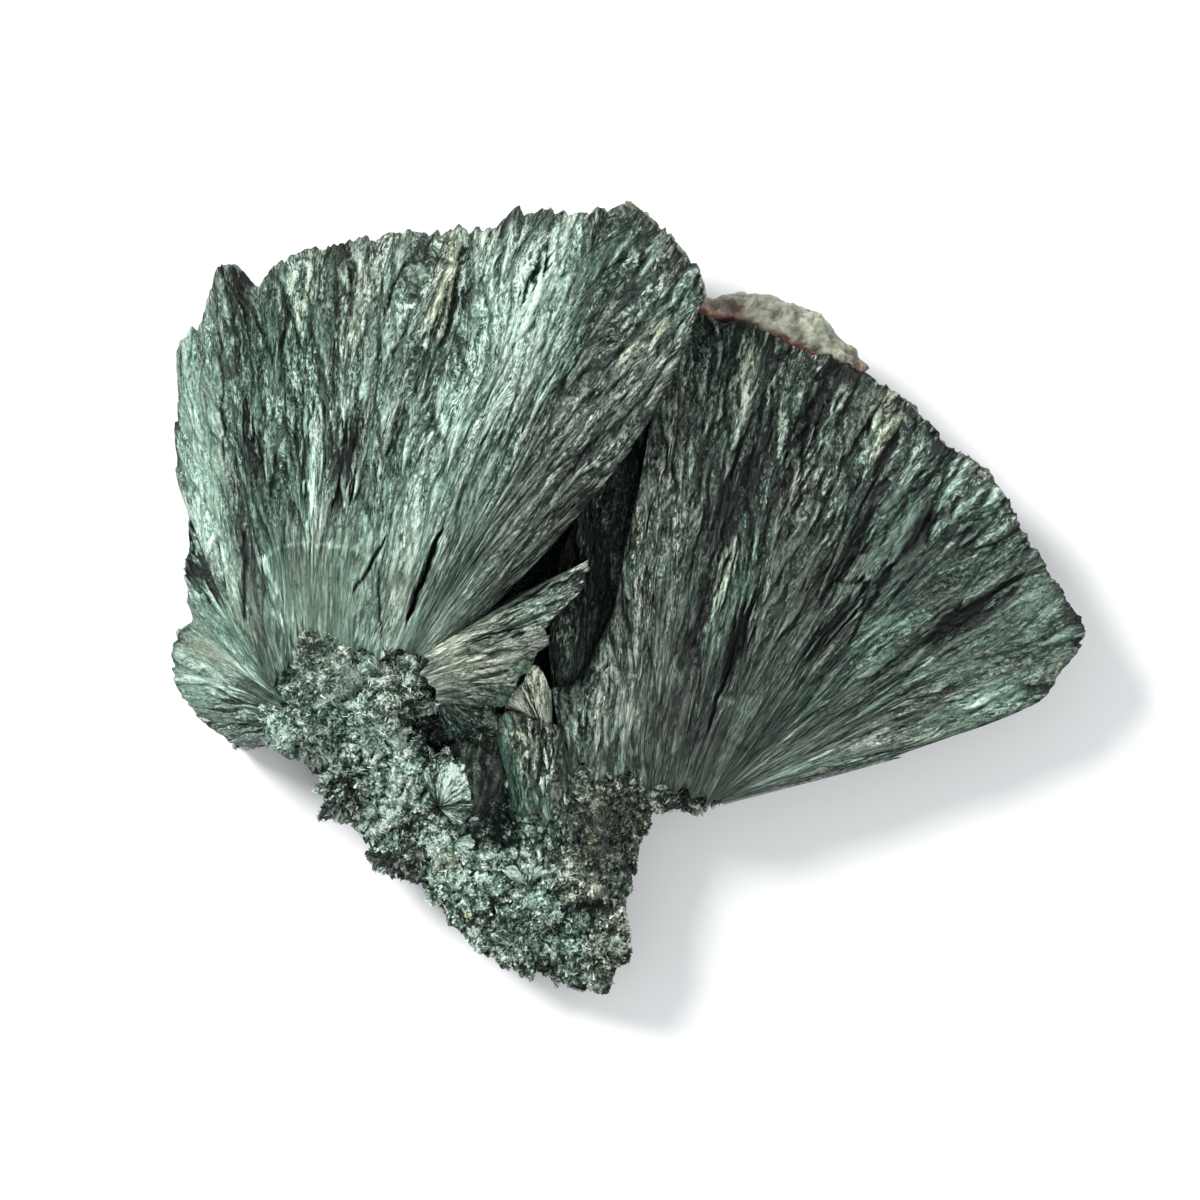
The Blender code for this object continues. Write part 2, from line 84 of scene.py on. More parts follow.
sky = bpy.data.worlds.new("studio")
sky.use_nodes = True
daylight = sky.node_tree.nodes["Background"].inputs
daylight["Color"].default_value = (0.93, 0.97, 1.0, 1.0)
daylight["Strength"].default_value = SKY_STRENGTH
scene.world = sky

# Matt paper: no gloss, so it only takes the soft shadow.
card_paper = bpy.data.materials.new("matt_white_paper")
card_paper.use_nodes = True
paper_inputs = card_paper.node_tree.nodes["Principled BSDF"].inputs
paper_inputs["Base Color"].default_value = (0.93, 0.93, 0.93, 1.0)
paper_inputs["Roughness"].default_value = 0.9

half = CARD_WIDTH / 2
card_mesh = bpy.data.meshes.new("white_card")
card_mesh.from_pydata([(-half, -half, 0), (half, -half, 0), (half, half, 0), (-half, half, 0)],
                      [], [(0, 1, 2, 3)])
card_mesh.materials.append(card_paper)
card = bpy.data.objects.new("white_card", card_mesh)
scene.collection.objects.link(card)

# ---------------------------------------------------------------- core
# The dark granular chlorite that all the fans grow from, so nothing fixes it to them. It's
# hidden from above, except in the cleft between the two big fans. Its flat underside is what
# the specimen rests on.
# Places from here on are in mm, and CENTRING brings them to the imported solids' own middle.
CENTRING = (0.017, 0.445, 0.002)
CORE_MIDDLE = (-10.0, -5.0)
CORE_OUTLINE = [
    (-40.0, -14.0), (-43.0, -4.0), (-41.0, 6.0), (-37.0, 13.0), (-31.0, 21.0), (-20.0, 23.0),
    (-9.0, 26.0), (1.0, 24.0), (9.0, 19.0), (15.0, 14.0), (24.0, 10.0), (30.0, 2.0),
    (35.0, -4.0), (31.0, -11.0), (19.0, -15.0), (6.0, -19.0), (-1.0, -27.0), (-4.0, -36.0),
    (-7.0, -40.0), (-15.0, -36.0), (-22.0, -30.0), (-30.0, -22.0),
]
CORE_TOP = 9.0
CORE_GRAIN = 2.4
# Columns round it and rows across it; the first and last ring are this share of its width.
CORE_COLUMNS = 180
CORE_ROWS = {"top": 14, "wall": 12, "under": 12}
CORE_POLE = 0.02


def chance(ix, iy, iz, seed):
    """A repeatable random number from 0 to 1 for each lattice cell."""
    mixed = ix.astype(np.int64) * 374761393 + iy.astype(np.int64) * 668265263
    mixed = mixed + iz.astype(np.int64) * 1442695041 + seed * 974634777
    mixed = (mixed ^ (mixed >> 13)) & 0xFFFFFFFF
    mixed = (mixed * 1274126177) & 0xFFFFFFFF
    mixed = mixed ^ (mixed >> 16)
    return (mixed & 0xFFFFFF) / float(0xFFFFFF)


def smooth_step(x):
    """0 up to 0, 1 from 1 on, and a smooth rise between them."""
    x = np.clip(x, 0.0, 1.0)
    return x * x * (3 - 2 * x)


def grains(x, y, size, seed):
    """Packed round grains: the height of the top one in its own size, and its own number."""
    gx, gy = x / size, y / size
    ix, iy = np.floor(gx), np.floor(gy)
    zero = np.zeros_like(ix)
    top, own = np.full(gx.shape, -9.0), zero.copy()
    for ox in (-1, 0, 1):
        for oy in (-1, 0, 1):
            cx, cy = ix + ox, iy + oy
            dx = gx - (cx + 0.5 + 0.8 * (chance(cx, cy, zero, seed) - 0.5))
            dy = gy - (cy + 0.5 + 0.8 * (chance(cx, cy, zero, seed + 1) - 0.5))
            height = 0.8 * chance(cx, cy, zero, seed + 2) - 1.2 * (dx * dx + dy * dy)
            better = height > top
            own = np.where(better, chance(cx, cy, zero, seed + 3), own)
            top = np.where(better, height, top)
    return top, own


def smooth_between(values, places):
    """Catmull-Rom through rows of values, at places from 0 to len(values) - 1."""
    values = np.array(values, float)
    last = len(values) - 1
    index = np.clip(np.floor(places).astype(int), 0, last - 1)
    t = (places - index)[:, None]
    a, b = values[np.maximum(index - 1, 0)], values[index]
    c, d = values[index + 1], values[np.minimum(index + 2, last)]
    curve = 2 * b + (c - a) * t + (2 * a - 5 * b + 4 * c - d) * t ** 2
    return 0.5 * (curve + (3 * b - a - 3 * c + d) * t ** 3)


def stone_piece(name, points, faces, tint, grain, material, node="seraphinite"):
    """A finished piece from points in mm: faces outward, attributes, material, bookkeeping.

    The tint attribute holds how pale, how mint, how warm and how streaky each place is. The
    grain attribute holds the place across and along the fibres in mm, and the share of the
    way out to the rim.
    """
    mesh = bpy.data.meshes.new(name)
    mesh.from_pydata((points + np.array(CENTRING)) * MM, [], faces)
    builder = bmesh.new()
    builder.from_mesh(mesh)
    bmesh.ops.recalc_face_normals(builder, faces=builder.faces)
    builder.to_mesh(mesh)
    builder.free()
    shade = mesh.attributes.new("tint", "FLOAT_COLOR", "POINT")
    shade.data.foreach_set("color", np.clip(tint, 0, 1).astype(np.float32).ravel())
    along = mesh.attributes.new("grain", "FLOAT_VECTOR", "POINT")
    along.data.foreach_set("vector", grain.astype(np.float32).ravel())
    mesh.shade_smooth()
    mesh.materials.append(material)
    piece = bpy.data.objects.new(name, mesh)
    scene.collection.objects.link(piece)
    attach(piece, "root")
    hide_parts(node)
    return piece


def loft_faces(columns, ring, closed=False):
    """Quads that join columns of rings; an open loft gets a cap at both ends."""
    c, r = np.meshgrid(np.arange(columns if closed else columns - 1), np.arange(ring),
                       indexing="ij")
    beside, after = (c + 1) % columns, (r + 1) % ring
    quads = np.stack([c * ring + r, beside * ring + r, beside * ring + after, c * ring + after], 2)
    faces = quads.reshape(-1, 4).tolist()
    if not closed:
        last = (columns - 1) * ring
        faces += [list(range(ring)), list(range(last, last + ring))]
    return faces


def to_linear(code):
    """An sRGB hex colour as linear red, green, blue and alpha."""
    parts = [int(code[i:i + 2], 16) / 255 for i in (1, 3, 5)]
    return (*[p / 12.92 if p <= 0.04045 else ((p + 0.055) / 1.055) ** 2.4 for p in parts], 1.0)


def add_node(tree, kind, inputs=None, stops=(), **settings):
    """Add a node, with its settings, its colour stops, and its inputs set or linked.

    An input given as a node is linked to that node's first output.
    """
    node = tree.nodes.new(kind)
    for key, setting in settings.items():
        setattr(node, key, setting)
    for key, given in (inputs or {}).items():
        if isinstance(given, bpy.types.Node):
            given = given.outputs[0]
        if isinstance(given, bpy.types.NodeSocket):
            tree.links.new(given, node.inputs[key])
        else:
            node.inputs[key].default_value = given
    if stops:
        band = node.color_ramp.elements
        while len(band) < len(stops):
            band.new(0.5)
        for element, (place, code) in zip(band, stops):
            element.position = place
            element.color = to_linear(code)
    return node


def stone_mottle(tree, place, per_mm, detail, twist=0.0):
    """Mottling from 0 to 1 over places in mm, with its own scale in each direction."""
    stretched = add_node(tree, "ShaderNodeMapping", {"Vector": place, "Scale": per_mm})
    return add_node(tree, "ShaderNodeTexNoise", {
        "Vector": stretched, "Scale": 1.0, "Detail": detail, "Roughness": 0.6,
        "Distortion": twist})


def place_in_mm(tree):
    """The place on the piece in mm."""
    metres = add_node(tree, "ShaderNodeTexCoord").outputs["Object"]
    return add_node(tree, "ShaderNodeVectorMath", {0: metres, "Scale": 1 / MM},
                    operation="SCALE")


# The stone's colour from its darkest to its palest, where it's grey, mint and warm.
GREY_STOPS = [(0.0, "#030504"), (0.2, "#101b14"), (0.4, "#37433a"), (0.6, "#667267"),
              (0.8, "#95a093"), (1.0, "#d0d9cc")]
MINT_STOPS = [(0.0, "#030706"), (0.2, "#0d1d16"), (0.4, "#344e43"), (0.6, "#648270"),
              (0.8, "#97b5a5"), (1.0, "#d2e9dd")]
WARM_STOPS = [(0.0, "#080904"), (0.2, "#1d1d12"), (0.4, "#4a4c38"), (0.6, "#7b8368"),
              (0.8, "#adb598"), (1.0, "#e6ead2")]


def tinted_stone(name, streaks, roughness, bump):
    """Chlorite whose paleness is its tint plus a pattern made by the streaks function."""
    material = bpy.data.materials.new(name)
    material.use_nodes = True
    tree = material.node_tree
    shader = tree.nodes["Principled BSDF"]
    tint = add_node(tree, "ShaderNodeAttribute", attribute_name="tint")
    amounts = add_node(tree, "ShaderNodeSeparateColor", {0: tint}).outputs
    change = add_node(tree, "ShaderNodeMath", {0: streaks(tree), 1: tint.outputs["Alpha"]},
                      operation="MULTIPLY")
    pale = add_node(tree, "ShaderNodeMath", {0: amounts["Red"], 1: change}, operation="ADD",
                    use_clamp=True)
    grey, mint, warm = [add_node(tree, "ShaderNodeValToRGB", {"Fac": pale}, stops)
                        for stops in (GREY_STOPS, MINT_STOPS, WARM_STOPS)]
    cool = add_node(tree, "ShaderNodeMix", {0: amounts["Green"], 6: grey, 7: mint},
                    data_type="RGBA").outputs[2]
    full = add_node(tree, "ShaderNodeMix", {0: amounts["Blue"], 6: cool, 7: warm},
                    data_type="RGBA").outputs[2]
    tree.links.new(full, shader.inputs["Base Color"])
    ridge = add_node(tree, "ShaderNodeBump", {
        "Height": change, "Strength": bump, "Distance": 0.3 * MM})
    tree.links.new(ridge.outputs["Normal"], shader.inputs["Normal"])
    shader.inputs["Roughness"].default_value = roughness
    shader.inputs["IOR"].default_value = 1.57
    shader.inputs["Specular IOR Level"].default_value = 0.3
    return material


def speck_pattern(tree):
    """Granular chlorite: specks of 0.3 to 1 mm with fine bright dust between them."""
    place, layers = place_in_mm(tree), []
    for per_mm, twist, strength in ((1.3, 0.8, 0.6), (3.1, 0.0, 2.4)):
        specks = stone_mottle(tree, place, (per_mm, per_mm, per_mm), 3.0, twist)
        centred = add_node(tree, "ShaderNodeMath", {0: specks, 1: 0.5}, operation="SUBTRACT")
        layers.append(add_node(tree, "ShaderNodeMath", {0: centred, 1: strength},
                               operation="MULTIPLY"))
    return add_node(tree, "ShaderNodeMath", {0: layers[0], 1: layers[1]}, operation="ADD")


# Chlorite broken across its grains: dull, with a glint only where a tiny flake faces the lamp.
granular_chlorite = tinted_stone("granular_chlorite", speck_pattern, roughness=0.5, bump=0.9)

core_edge = smooth_between(CORE_OUTLINE + CORE_OUTLINE[:1],
                           np.arange(CORE_COLUMNS) * len(CORE_OUTLINE) / CORE_COLUMNS)
core_out = core_edge - np.array(CORE_MIDDLE)
shares = np.concatenate([
    np.linspace(CORE_POLE, 1, CORE_ROWS["top"]), np.ones(CORE_ROWS["wall"]),
    np.linspace(1, CORE_POLE, CORE_ROWS["under"])])[None, :]
drop = np.concatenate([
    np.zeros(CORE_ROWS["top"]), np.linspace(0.08, 1, CORE_ROWS["wall"]),
    np.ones(CORE_ROWS["under"])])[None, :]
core_x = CORE_MIDDLE[0] + core_out[:, :1] * shares
core_y = CORE_MIDDLE[1] + core_out[:, 1:] * shares
# The grains run on down the wall, slantwise, and fade out at its foot.
core_bumps, core_own = grains(core_x + drop * 7.0, core_y + drop * 5.0, CORE_GRAIN, 5)
core_z = CORE_TOP * (1 - drop)
core_z = core_z + (core_bumps - 0.4) * 0.9 * (drop < 1) * smooth_step(1.3 - drop)
push = 1 + 0.03 * (core_bumps - 0.4) * (drop > 0) * (drop < 1)
core_x = CORE_MIDDLE[0] + (core_x - CORE_MIDDLE[0]) * push
core_y = CORE_MIDDLE[1] + (core_y - CORE_MIDDLE[1]) * push
# Each grain is a little paler on its top: a painted highlight.
core_tint = np.stack([0.2 + 0.2 * (core_own - 0.5) + 0.1 * core_bumps,
                      np.full_like(core_own, 0.35), np.zeros_like(core_own),
                      np.full_like(core_own, 0.8)], axis=2).reshape(-1, 4)
core_points = np.stack([core_x, core_y, np.maximum(core_z, 0.0)], axis=2).reshape(-1, 3)
stone_piece("core", core_points, loft_faces(CORE_COLUMNS, shares.shape[1], closed=True),
            core_tint, core_points, granular_chlorite)

# ---------------------------------------------------------------- left fan
# The tall fan: silky clinochlore fibres, grown out of the root mass and broken off at the
# rim. Splinters overlap like shingles, each with its pointed tip towards the root.
# Rays along the fibres: x, y and height at the root, then at the rim.
LEFT_RAYS = [
    ((-45.0, -12.2, 12.0), (-54.2, 12.0, 8.5)),
    ((-44.6, -11.7, 17.0), (-54.8, 15.4, 13.0)),
    ((-43.7, -10.7, 18.5), (-54.7, 23.9, 14.0)),
    ((-42.8, -9.9, 20.0), (-54.3, 29.8, 16.0)),
    ((-41.7, -8.9, 21.0), (-51.2, 33.9, 19.0)),
    ((-40.7, -8.1, 21.5), (-49.1, 39.0, 21.8)),
    ((-40.1, -7.6, 21.0), (-46.6, 39.0, 20.0)),
    ((-39.4, -7.2, 20.5), (-44.6, 38.1, 19.0)),
    ((-38.5, -6.9, 20.5), (-41.2, 39.9, 20.0)),
    ((-37.4, -6.5, 21.0), (-35.8, 42.4, 21.0)),
    ((-35.8, -6.3, 21.5), (-31.2, 42.7, 22.0)),
    ((-33.4, -6.3, 22.0), (-24.8, 44.0, 23.0)),
    ((-30.4, -6.4, 22.5), (-16.8, 43.9, 24.5)),
    ((-28.5, -6.5, 23.0), (-13.4, 46.0, 26.0)),
    ((-27.3, -6.6, 23.5), (-5.8, 45.6, 28.0)),
    ((-26.6, -6.7, 23.5), (-1.5, 46.8, 27.5)),
    ((-26.2, -7.0, 23.0), (3.9, 43.7, 26.0)),
    ((-25.9, -7.2, 23.0), (8.1, 38.9, 24.5)),
    ((-25.7, -7.5, 23.0), (8.8, 35.6, 24.0)),
    ((-25.4, -7.8, 23.0), (5.0, 25.5, 22.5)),
    ((-25.2, -8.3, 22.5), (1.4, 19.5, 21.5)),
    ((-25.0, -8.9, 22.0), (-7.0, 8.8, 20.0)),
    ((-24.5, -9.9, 21.0), (-15.5, -0.3, 19.0)),
]
# Patches: place, half width and half length along the fibres, then how much paler, mintier,
# warmer and higher they are. Zeros at the end are left out. The paler and darker amounts are
# partly the stone's own tone and partly painted light and shade: darker sunk places carry
# painted shade, and paler places a painted sheen where the fibres face the lamp.
LEFT_PATCHES = [
    (-51.6, 20.2, 2.7, 17.0, 0.2, 0.5),
    (-50.4, 7.0, 1.9, 8.0, 0.12, 0.3, 0.0, 0.2),
    (-52.6, 12.0, 1.4, 9.0, 0.1, 0.3),
    (-45.8, 6.0, 1.1, 9.0, -0.08, 0.0, 0.0, -0.2),
    (-46.2, 17.8, 1.1, 17.0, -0.2, 0.0, 0.0, -0.3),
    (-46.3, 36.0, 1.1, 3.0, -0.25, -0.3, 0.3, -0.2),
    (-41.5, 31.0, 3.4, 5.0, -0.1, 0.1),
    (-43.8, 25.0, 4.0, 8.0, -0.06),
    (1.5, 39.5, 4.0, 4.0, 0.07, 0.1),
    (-42.5, 23.5, 2.4, 2.6, 0.1, 0.1),
    (-39.5, 34.5, 0.9, 1.8, 0.14, 0.0, 0.4, 0.2),
    (-37.0, 40.5, 1.8, 1.6, 0.1, -0.2, 0.6, 0.2),
    (-32.1, 34.0, 1.5, 4.2, 0.1, 0.35, 0.4, 0.3),
    (-32.5, 25.0, 2.4, 6.0, 0.0, 0.3),
    (-32.3, 25.5, 1.5, 7.0, 0.14, 0.1, 0.0, 0.1),
    (-28.6, 19.5, 1.0, 4.0, 0.12, 0.1, 0.0, 0.1),
    (-30.0, 38.0, 1.1, 2.6, 0.12, 0.0, 0.1),
    (-24.4, 43.7, 3.6, 0.9, -0.2, 0.0, 0.2),
    (-25.4, 38.6, 1.8, 2.2, -0.14, 0.0, 0.1),
    (-28.2, 28.0, 0.9, 5.0, -0.12),
    (-41.5, 28.0, 1.6, 2.2, -0.12),
    (-41.3, 22.0, 1.4, 3.0, -0.1),
    (-39.2, 33.0, 1.6, 2.4, 0.12, 0.0, 0.1),
    (-35.2, 35.5, 0.9, 4.5, -0.22, 0.0, 0.0, -0.4),
    (-33.3, 40.2, 1.0, 1.8, -0.2, -0.2, 0.4, -0.4),
    (-25.2, 28.5, 3.0, 1.8, -0.18, 0.0, 0.0, -0.2),
    (-28.0, 16.0, 2.4, 8.0, -0.1),
    (-33.8, 17.4, 1.1, 4.2, -0.34, 0.0, 0.0, -0.9),
    (-45.3, 18.0, 0.7, 3.0, -0.3, 0.0, 0.0, -0.5),
    (-43.9, 13.6, 0.7, 3.0, -0.2, 0.0, 0.0, -0.4),
    (-39.6, 16.0, 0.9, 5.0, -0.18, 0.1, 0.0, -0.3),
    (-35.6, 15.5, 1.0, 5.0, -0.16, 0.1, 0.0, -0.3),
    (-37.7, 15.0, 0.8, 9.0, 0.24, 0.5, 0.0, 0.5),
    (-33.5, 24.5, 2.0, 2.6, 0.1),
    (-36.6, 1.0, 6.0, 5.5, 0.0, -0.2, 0.1),
    (-37.6, 1.8, 2.4, 4.2, -0.12),
    (-34.0, -4.8, 5.0, 1.8, -0.08),
    (-42.1, 0.4, 1.1, 4.4, 0.24, 0.5, 0.0, 0.2),
    (-40.6, -3.2, 0.9, 2.4, 0.24, 0.5, 0.0, 0.2),
    (-47.4, 9.0, 1.0, 9.0, -0.16, 0.0, 0.0, -0.2),
    (-43.2, -2.0, 0.6, 2.4, -0.14),
    (-40.6, 15.5, 0.7, 4.0, -0.16, 0.0, 0.0, -0.1),
    (-34.5, 10.6, 2.4, 1.6, 0.12),
    (-8.2, 31.5, 1.5, 4.0, 0.12),
    (-19.2, 17.8, 5.6, 23.0, 0.18, 0.4),
    (-12.0, 36.5, 4.6, 8.5, 0.2, 0.45),
    (-17.5, 42.0, 3.0, 4.0, 0.1, 0.2, 0.1),
    (-17.3, 16.5, 2.4, 5.0, -0.15, 0.1, 0.0, -0.2),
    (-20.2, 4.5, 3.4, 5.5, -0.1),
    (-22.2, 37.1, 1.5, 6.0, 0.1, -0.2, 0.8, 0.5),
    (-20.6, 36.5, 0.5, 6.0, -0.4, 0.0, 0.0, -0.7),
    (-10.8, 39.0, 0.45, 2.2, -0.55, 0.0, 0.0, -1.2),
    (-3.5, 19.0, 6.5, 22.0, -0.1, -0.5, 0.05),
    (-3.0, 37.0, 3.2, 8.0, -0.1, -0.2),
    (1.7, 30.8, 1.3, 4.2, 0.22, -0.3, 0.4, 0.3),
    (-0.2, 19.4, 2.6, 4.6, 0.18),
    (-3.7, 44.4, 1.6, 2.4, 0.12),
    (4.2, 39.4, 1.8, 1.8, 0.22),
    (8.0, 31.0, 1.6, 2.0, 0.1, 0.2),
    (-4.5, 24.0, 3.0, 2.6, -0.08),
    (-14.5, 1.0, 2.6, 2.6, 0.1),
    (-23.3, 3.0, 1.1, 5.0, -0.14),
    (-12.4, 17.0, 2.0, 8.0, -0.1),
    (-19.4, 13.6, 1.6, 3.0, -0.14),
    (3.8, 29.0, 2.4, 3.0, 0.08, 0.1),
    (6.2, 34.7, 2.4, 6.0, 0.05, 0.5),
    (4.7, 42.2, 3.0, 2.6, -0.14, -0.5, 0.25),
    (-7.7, 10.0, 2.2, 7.0, -0.1, -0.2, 0.0, -0.3),
    (-11.4, 21.5, 0.32, 10.0, 0.24, 0.2, 0.0, 0.5),
    (-16.0, 2.0, 3.0, 6.0, -0.06, -0.3),
]
# Open cracks along the fibres: both ends, half width and depth.
LEFT_CRACKS = [
    ((-22.2, 9.0), (-26.8, -3.6), 0.32, 2.2),
    ((-28.7, 7.8), (-33.2, 0.2), 0.17, 0.8),
    ((-30.1, 4.0), (-29.6, -4.6), 0.13, 0.4),
    ((-26.3, 40.8), (-29.8, 33.3), 0.13, 0.5),
    ((-46.2, -3.6), (-46.1, 8.6), 0.26, 0.5),
    ((-48.6, 15.0), (-48.9, 32.0), 0.14, 0.35),
]
# Growth lines across the fibres: middle, radius, first and last angle, how much paler.
LEFT_RINGS = [((-37.3, -6.6), 13.1, 52.0, 128.0, 0.2), ((-37.3, -6.6), 5.6, 60.0, 125.0, -0.06)]
# The splinters, from the big bundles to the finest: widths, lengths and how high they stand.
SPLINTER_WIDTHS = (5.0, 1.15, 0.46)
SPLINTER_LENGTHS = (14.0, 4.6, 2.1)
SPLINTER_RISES = (0.7, 0.45, 0.26)
CRUMB_RISE = 0.11
# The usual height that feathers gives, taken off so that splinters rise and sink alike.
USUAL_TOP = 0.8
# How far a tooth may stand out past the rim, and over how many columns they start small.
LONGEST_TOOTH = 0.7
CALM_COLUMNS = 14.0
# Sizes of the chunks and chips that the rim wall is broken into.
WALL_CHUNK, WALL_CHIP = 2.3, 0.9
# How far the pattern runs on round a side, and the share of the way down that its last column
# goes, which leaves some thickness there. How high every fan stays above the card.
SIDE_RUN = 14.0
SIDE_DROP = 0.97
ABOVE_CARD = 0.15


def soft_noise(x, y, seed, z=0.0):
    """Smooth noise from -1 to 1 on unit cells, in two or three directions."""
    x, y, z = np.broadcast_arrays(x, y, z)
    ix, iy, iz = np.floor(x), np.floor(y), np.floor(z)
    fx, fy, fz = smooth_step(x - ix), smooth_step(y - iy), smooth_step(z - iz)

    def layer(level):
        low, high = [chance(ix, row, level, seed) * (1 - fx)
                     + chance(ix + 1, row, level, seed) * fx for row in (iy, iy + 1)]
        return low * (1 - fy) + high * fy

    blend = layer(iz)
    if np.any(fz):
        blend = blend * (1 - fz) + layer(iz + 1) * fz
    return 2 * blend - 1


def feathers(x, y, wide, long, seed, lean=0.3, rise=0.35):
    """Overlapping splinters, each pointed and raised at its root end (-y).

    Gives the height of the top one, its own random number, and the place across and along it.
    lean is how far they lie askew, and rise how much higher the root end is.
    """
    gx, gy = x / wide, y / long
    ix, iy = np.floor(gx), np.floor(gy)
    zero = np.zeros_like(ix)
    top = np.full(gx.shape, -9.0)
    pick, across, along = zero.copy(), zero.copy(), zero.copy()
    for ox in (-1, 0, 1):
        for oy in (-1, 0, 1):
            cx, cy = ix + ox, iy + oy
            dx = gx - (cx + 0.5 + 0.9 * (chance(cx, cy, zero, seed) - 0.5))
            dy = gy - (cy + 0.5 + 0.9 * (chance(cx, cy, zero, seed + 1) - 0.5))
            dx = dx + (chance(cx, cy, zero, seed + 3) - 0.5) * 2 * lean * dy
            body = 0.08 + 0.82 * smooth_step((dy + 1.0) / 1.25)
            q = np.minimum(np.abs(dx) / body, 3.0)
            ends = 3.0 * np.maximum(dy - 0.7, 0) + 8.0 * np.maximum(-0.85 - dy, 0)
            height = chance(cx, cy, zero, seed + 2) + 0.55 * (1 - q ** 1.7) - rise * dy - ends
            better = height > top
            pick = np.where(better, chance(cx, cy, zero, seed + 4), pick)
            across = np.where(better, dx, across)
            along = np.where(better, dy, along)
            top = np.where(better, height, top)
    return top, pick, across, along


def fibre_pattern(u, v, x, y, share, seed, wide=SPLINTER_WIDTHS, long=SPLINTER_LENGTHS):
    """Splinters on splinters on splinters, from places across (u) and along (v) the fibres.

    Gives the height in mm, each layer's own random number, the place that the streaks follow,
    and the place that the patches are measured by. x and y are for patterns that need them.
    """
    # The fibres wander in waves of three sizes, the smallest mostly near the rim.
    bend = 1.2 * soft_noise(u / 7.0, v / 12.0, seed) + 0.4 * soft_noise(u / 2.4, v / 5.0, seed + 1)
    bend = bend + 0.2 * soft_noise(u / 0.9, v / 1.5, seed + 2) * np.clip(share / 0.4, 0.2, 1)
    top1, own1, across1, along1 = feathers(u + bend, v, wide[0], long[0], seed + 3, 0.25, 0.5)
    # Each splinter carries smaller ones of its own: it starts its own row, far from the rest.
    u2 = np.floor(own1 * 997) * 13.0 + across1 * wide[0] * 0.9 / (1 + 0.3 * along1)
    u2 = u2 + 0.12 * soft_noise(u / 0.8, v / 1.7, seed + 4)
    v2 = v + own1 * 90.0
    top2, own2, across2, _ = feathers(u2, v2, wide[1], long[1], seed + 20, 0.3)
    u3 = np.floor(own2 * 997) * 7.0 + across2 * wide[1]
    top3, own3, _, _ = feathers(u3, v2 + own2 * 50.0, wide[2], long[2], seed + 40, 0.45)
    grow = np.clip(share / 0.5, 0.16, 1.0)
    height = grow * sum(rise * (top - USUAL_TOP)
                        for rise, top in zip(SPLINTER_RISES, (top1, top2, top3)))
    crumbs = soft_noise(u2 / 0.7, v / 1.0, seed + 6)
    crumbs = crumbs + 0.6 * soft_noise(u2 / 0.4, v / 0.6, seed + 7)
    height = height + CRUMB_RISE * crumbs * grow ** 1.5
    ragged_u = u + (own2 - 0.5) * 1.6 + (own3 - 0.5) * 0.8
    ragged_v = v + (own2 * 3.7 % 1 - 0.5) * 6.0 + (own3 - 0.5) * 2.0
    place = (ragged_u, ragged_v, np.clip(share + 0 * u, 0.15, 1))
    return height, (own1, own2, own3), (u2 + own2 * 0.8, v2 + own2 * 3.0), place


def blurred(grid, columns, rows):
    """The average of each place's neighbours, so many columns and rows to either side."""
    for axis, half in ((0, columns), (1, rows)):
        edges = [(0, 0), (0, 0)]
        edges[axis] = (half + 1, half)
        total = np.cumsum(np.pad(grid, edges, mode="edge"), axis=axis)
        size = grid.shape[axis]
        high = np.take(total, np.arange(2 * half + 1, 2 * half + 1 + size), axis=axis)
        low = np.take(total, np.arange(0, size), axis=axis)
        grid = (high - low) / (2 * half + 1)
    return grid


def spread_rays(rays, columns):
    """Rays in columns: starts, ends, distance along the rim and distance across the fibres."""
    fine = smooth_between([start + end for start, end in rays],
                          np.linspace(0, len(rays) - 1, 1600))
    heading = fine[:-1, 3:5] - fine[:-1, :2]
    heading = heading / np.linalg.norm(heading, axis=1)[:, None]
    step = np.diff(fine[:, 3:5], axis=0)
    length = np.hypot(step[:, 0], step[:, 1])
    across = np.abs(step[:, 0] * heading[:, 1] - step[:, 1] * heading[:, 0])
    across = np.maximum(across, 0.2 * length)
    rim, spread = (np.concatenate([[0.0], np.cumsum(s)]) for s in (length, across))
    shared = 0.35 * rim + 0.65 * spread
    even = np.linspace(0, shared[-1], columns)
    placed = [np.interp(even, shared, fine[:, k]) for k in range(6)]
    return (np.stack(placed[:3], axis=1), np.stack(placed[3:], axis=1),
            np.interp(even, shared, rim), np.interp(even, shared, spread))


def filled(spot, count):
    """A patch or spot, with zeros for the last values that it leaves out."""
    return spot + (0.0,) * (count - len(spot))


def add_patches(look, lift, patches, grid, place, along_fibres):
    """Make places paler, mintier, warmer or higher, with edges as ragged as the fibres. The
    paler and darker amounts include painted light and shade.
    """
    u, v, x, y = grid
    for patch in patches:
        px, py, half_u, half_v, paler, mintier, warmer, higher = filled(patch, 8)
        middle = px, py
        if along_fibres:
            nearest = np.argmin((x - px) ** 2 + (y - py) ** 2)
            middle = u.flat[nearest], v.flat[nearest]
        far = ((place[0] - middle[0]) * place[2] / half_u) ** 2
        far = far + ((place[1] - middle[1]) / half_v) ** 2
        weight = np.exp(-0.9 * far ** 1.3)
        look += weight[..., None] * np.array([paler, mintier, warmer])
        lift += weight * higher


def add_cracks(look, lift, cracks, grid, own, seed):
    """Open the cracks: deep and painted dark as painted shade, pointed at both ends and a little
    crooked.
    """
    _, v, x, y = grid
    for (ax, ay), (bx, by), half, depth in cracks:
        run = math.hypot(bx - ax, by - ay)
        t = ((x - ax) * (bx - ax) + (y - ay) * (by - ay)) / run ** 2
        off = ((x - ax) * (by - ay) - (y - ay) * (bx - ax)) / run
        off = off + 0.25 * soft_noise(v / 1.3, 0.0, seed + 77) + 0.6 * half * (own - 0.5)
        taper = smooth_step(t / 0.3) * smooth_step((1 - t) / 0.2)
        weight = np.exp(-(off / (half * (0.35 + 0.65 * taper))) ** 2) * smooth_step(taper * 3)
        look[..., 0] -= 0.8 * min(depth, 1.0) * weight
        lift -= depth * weight


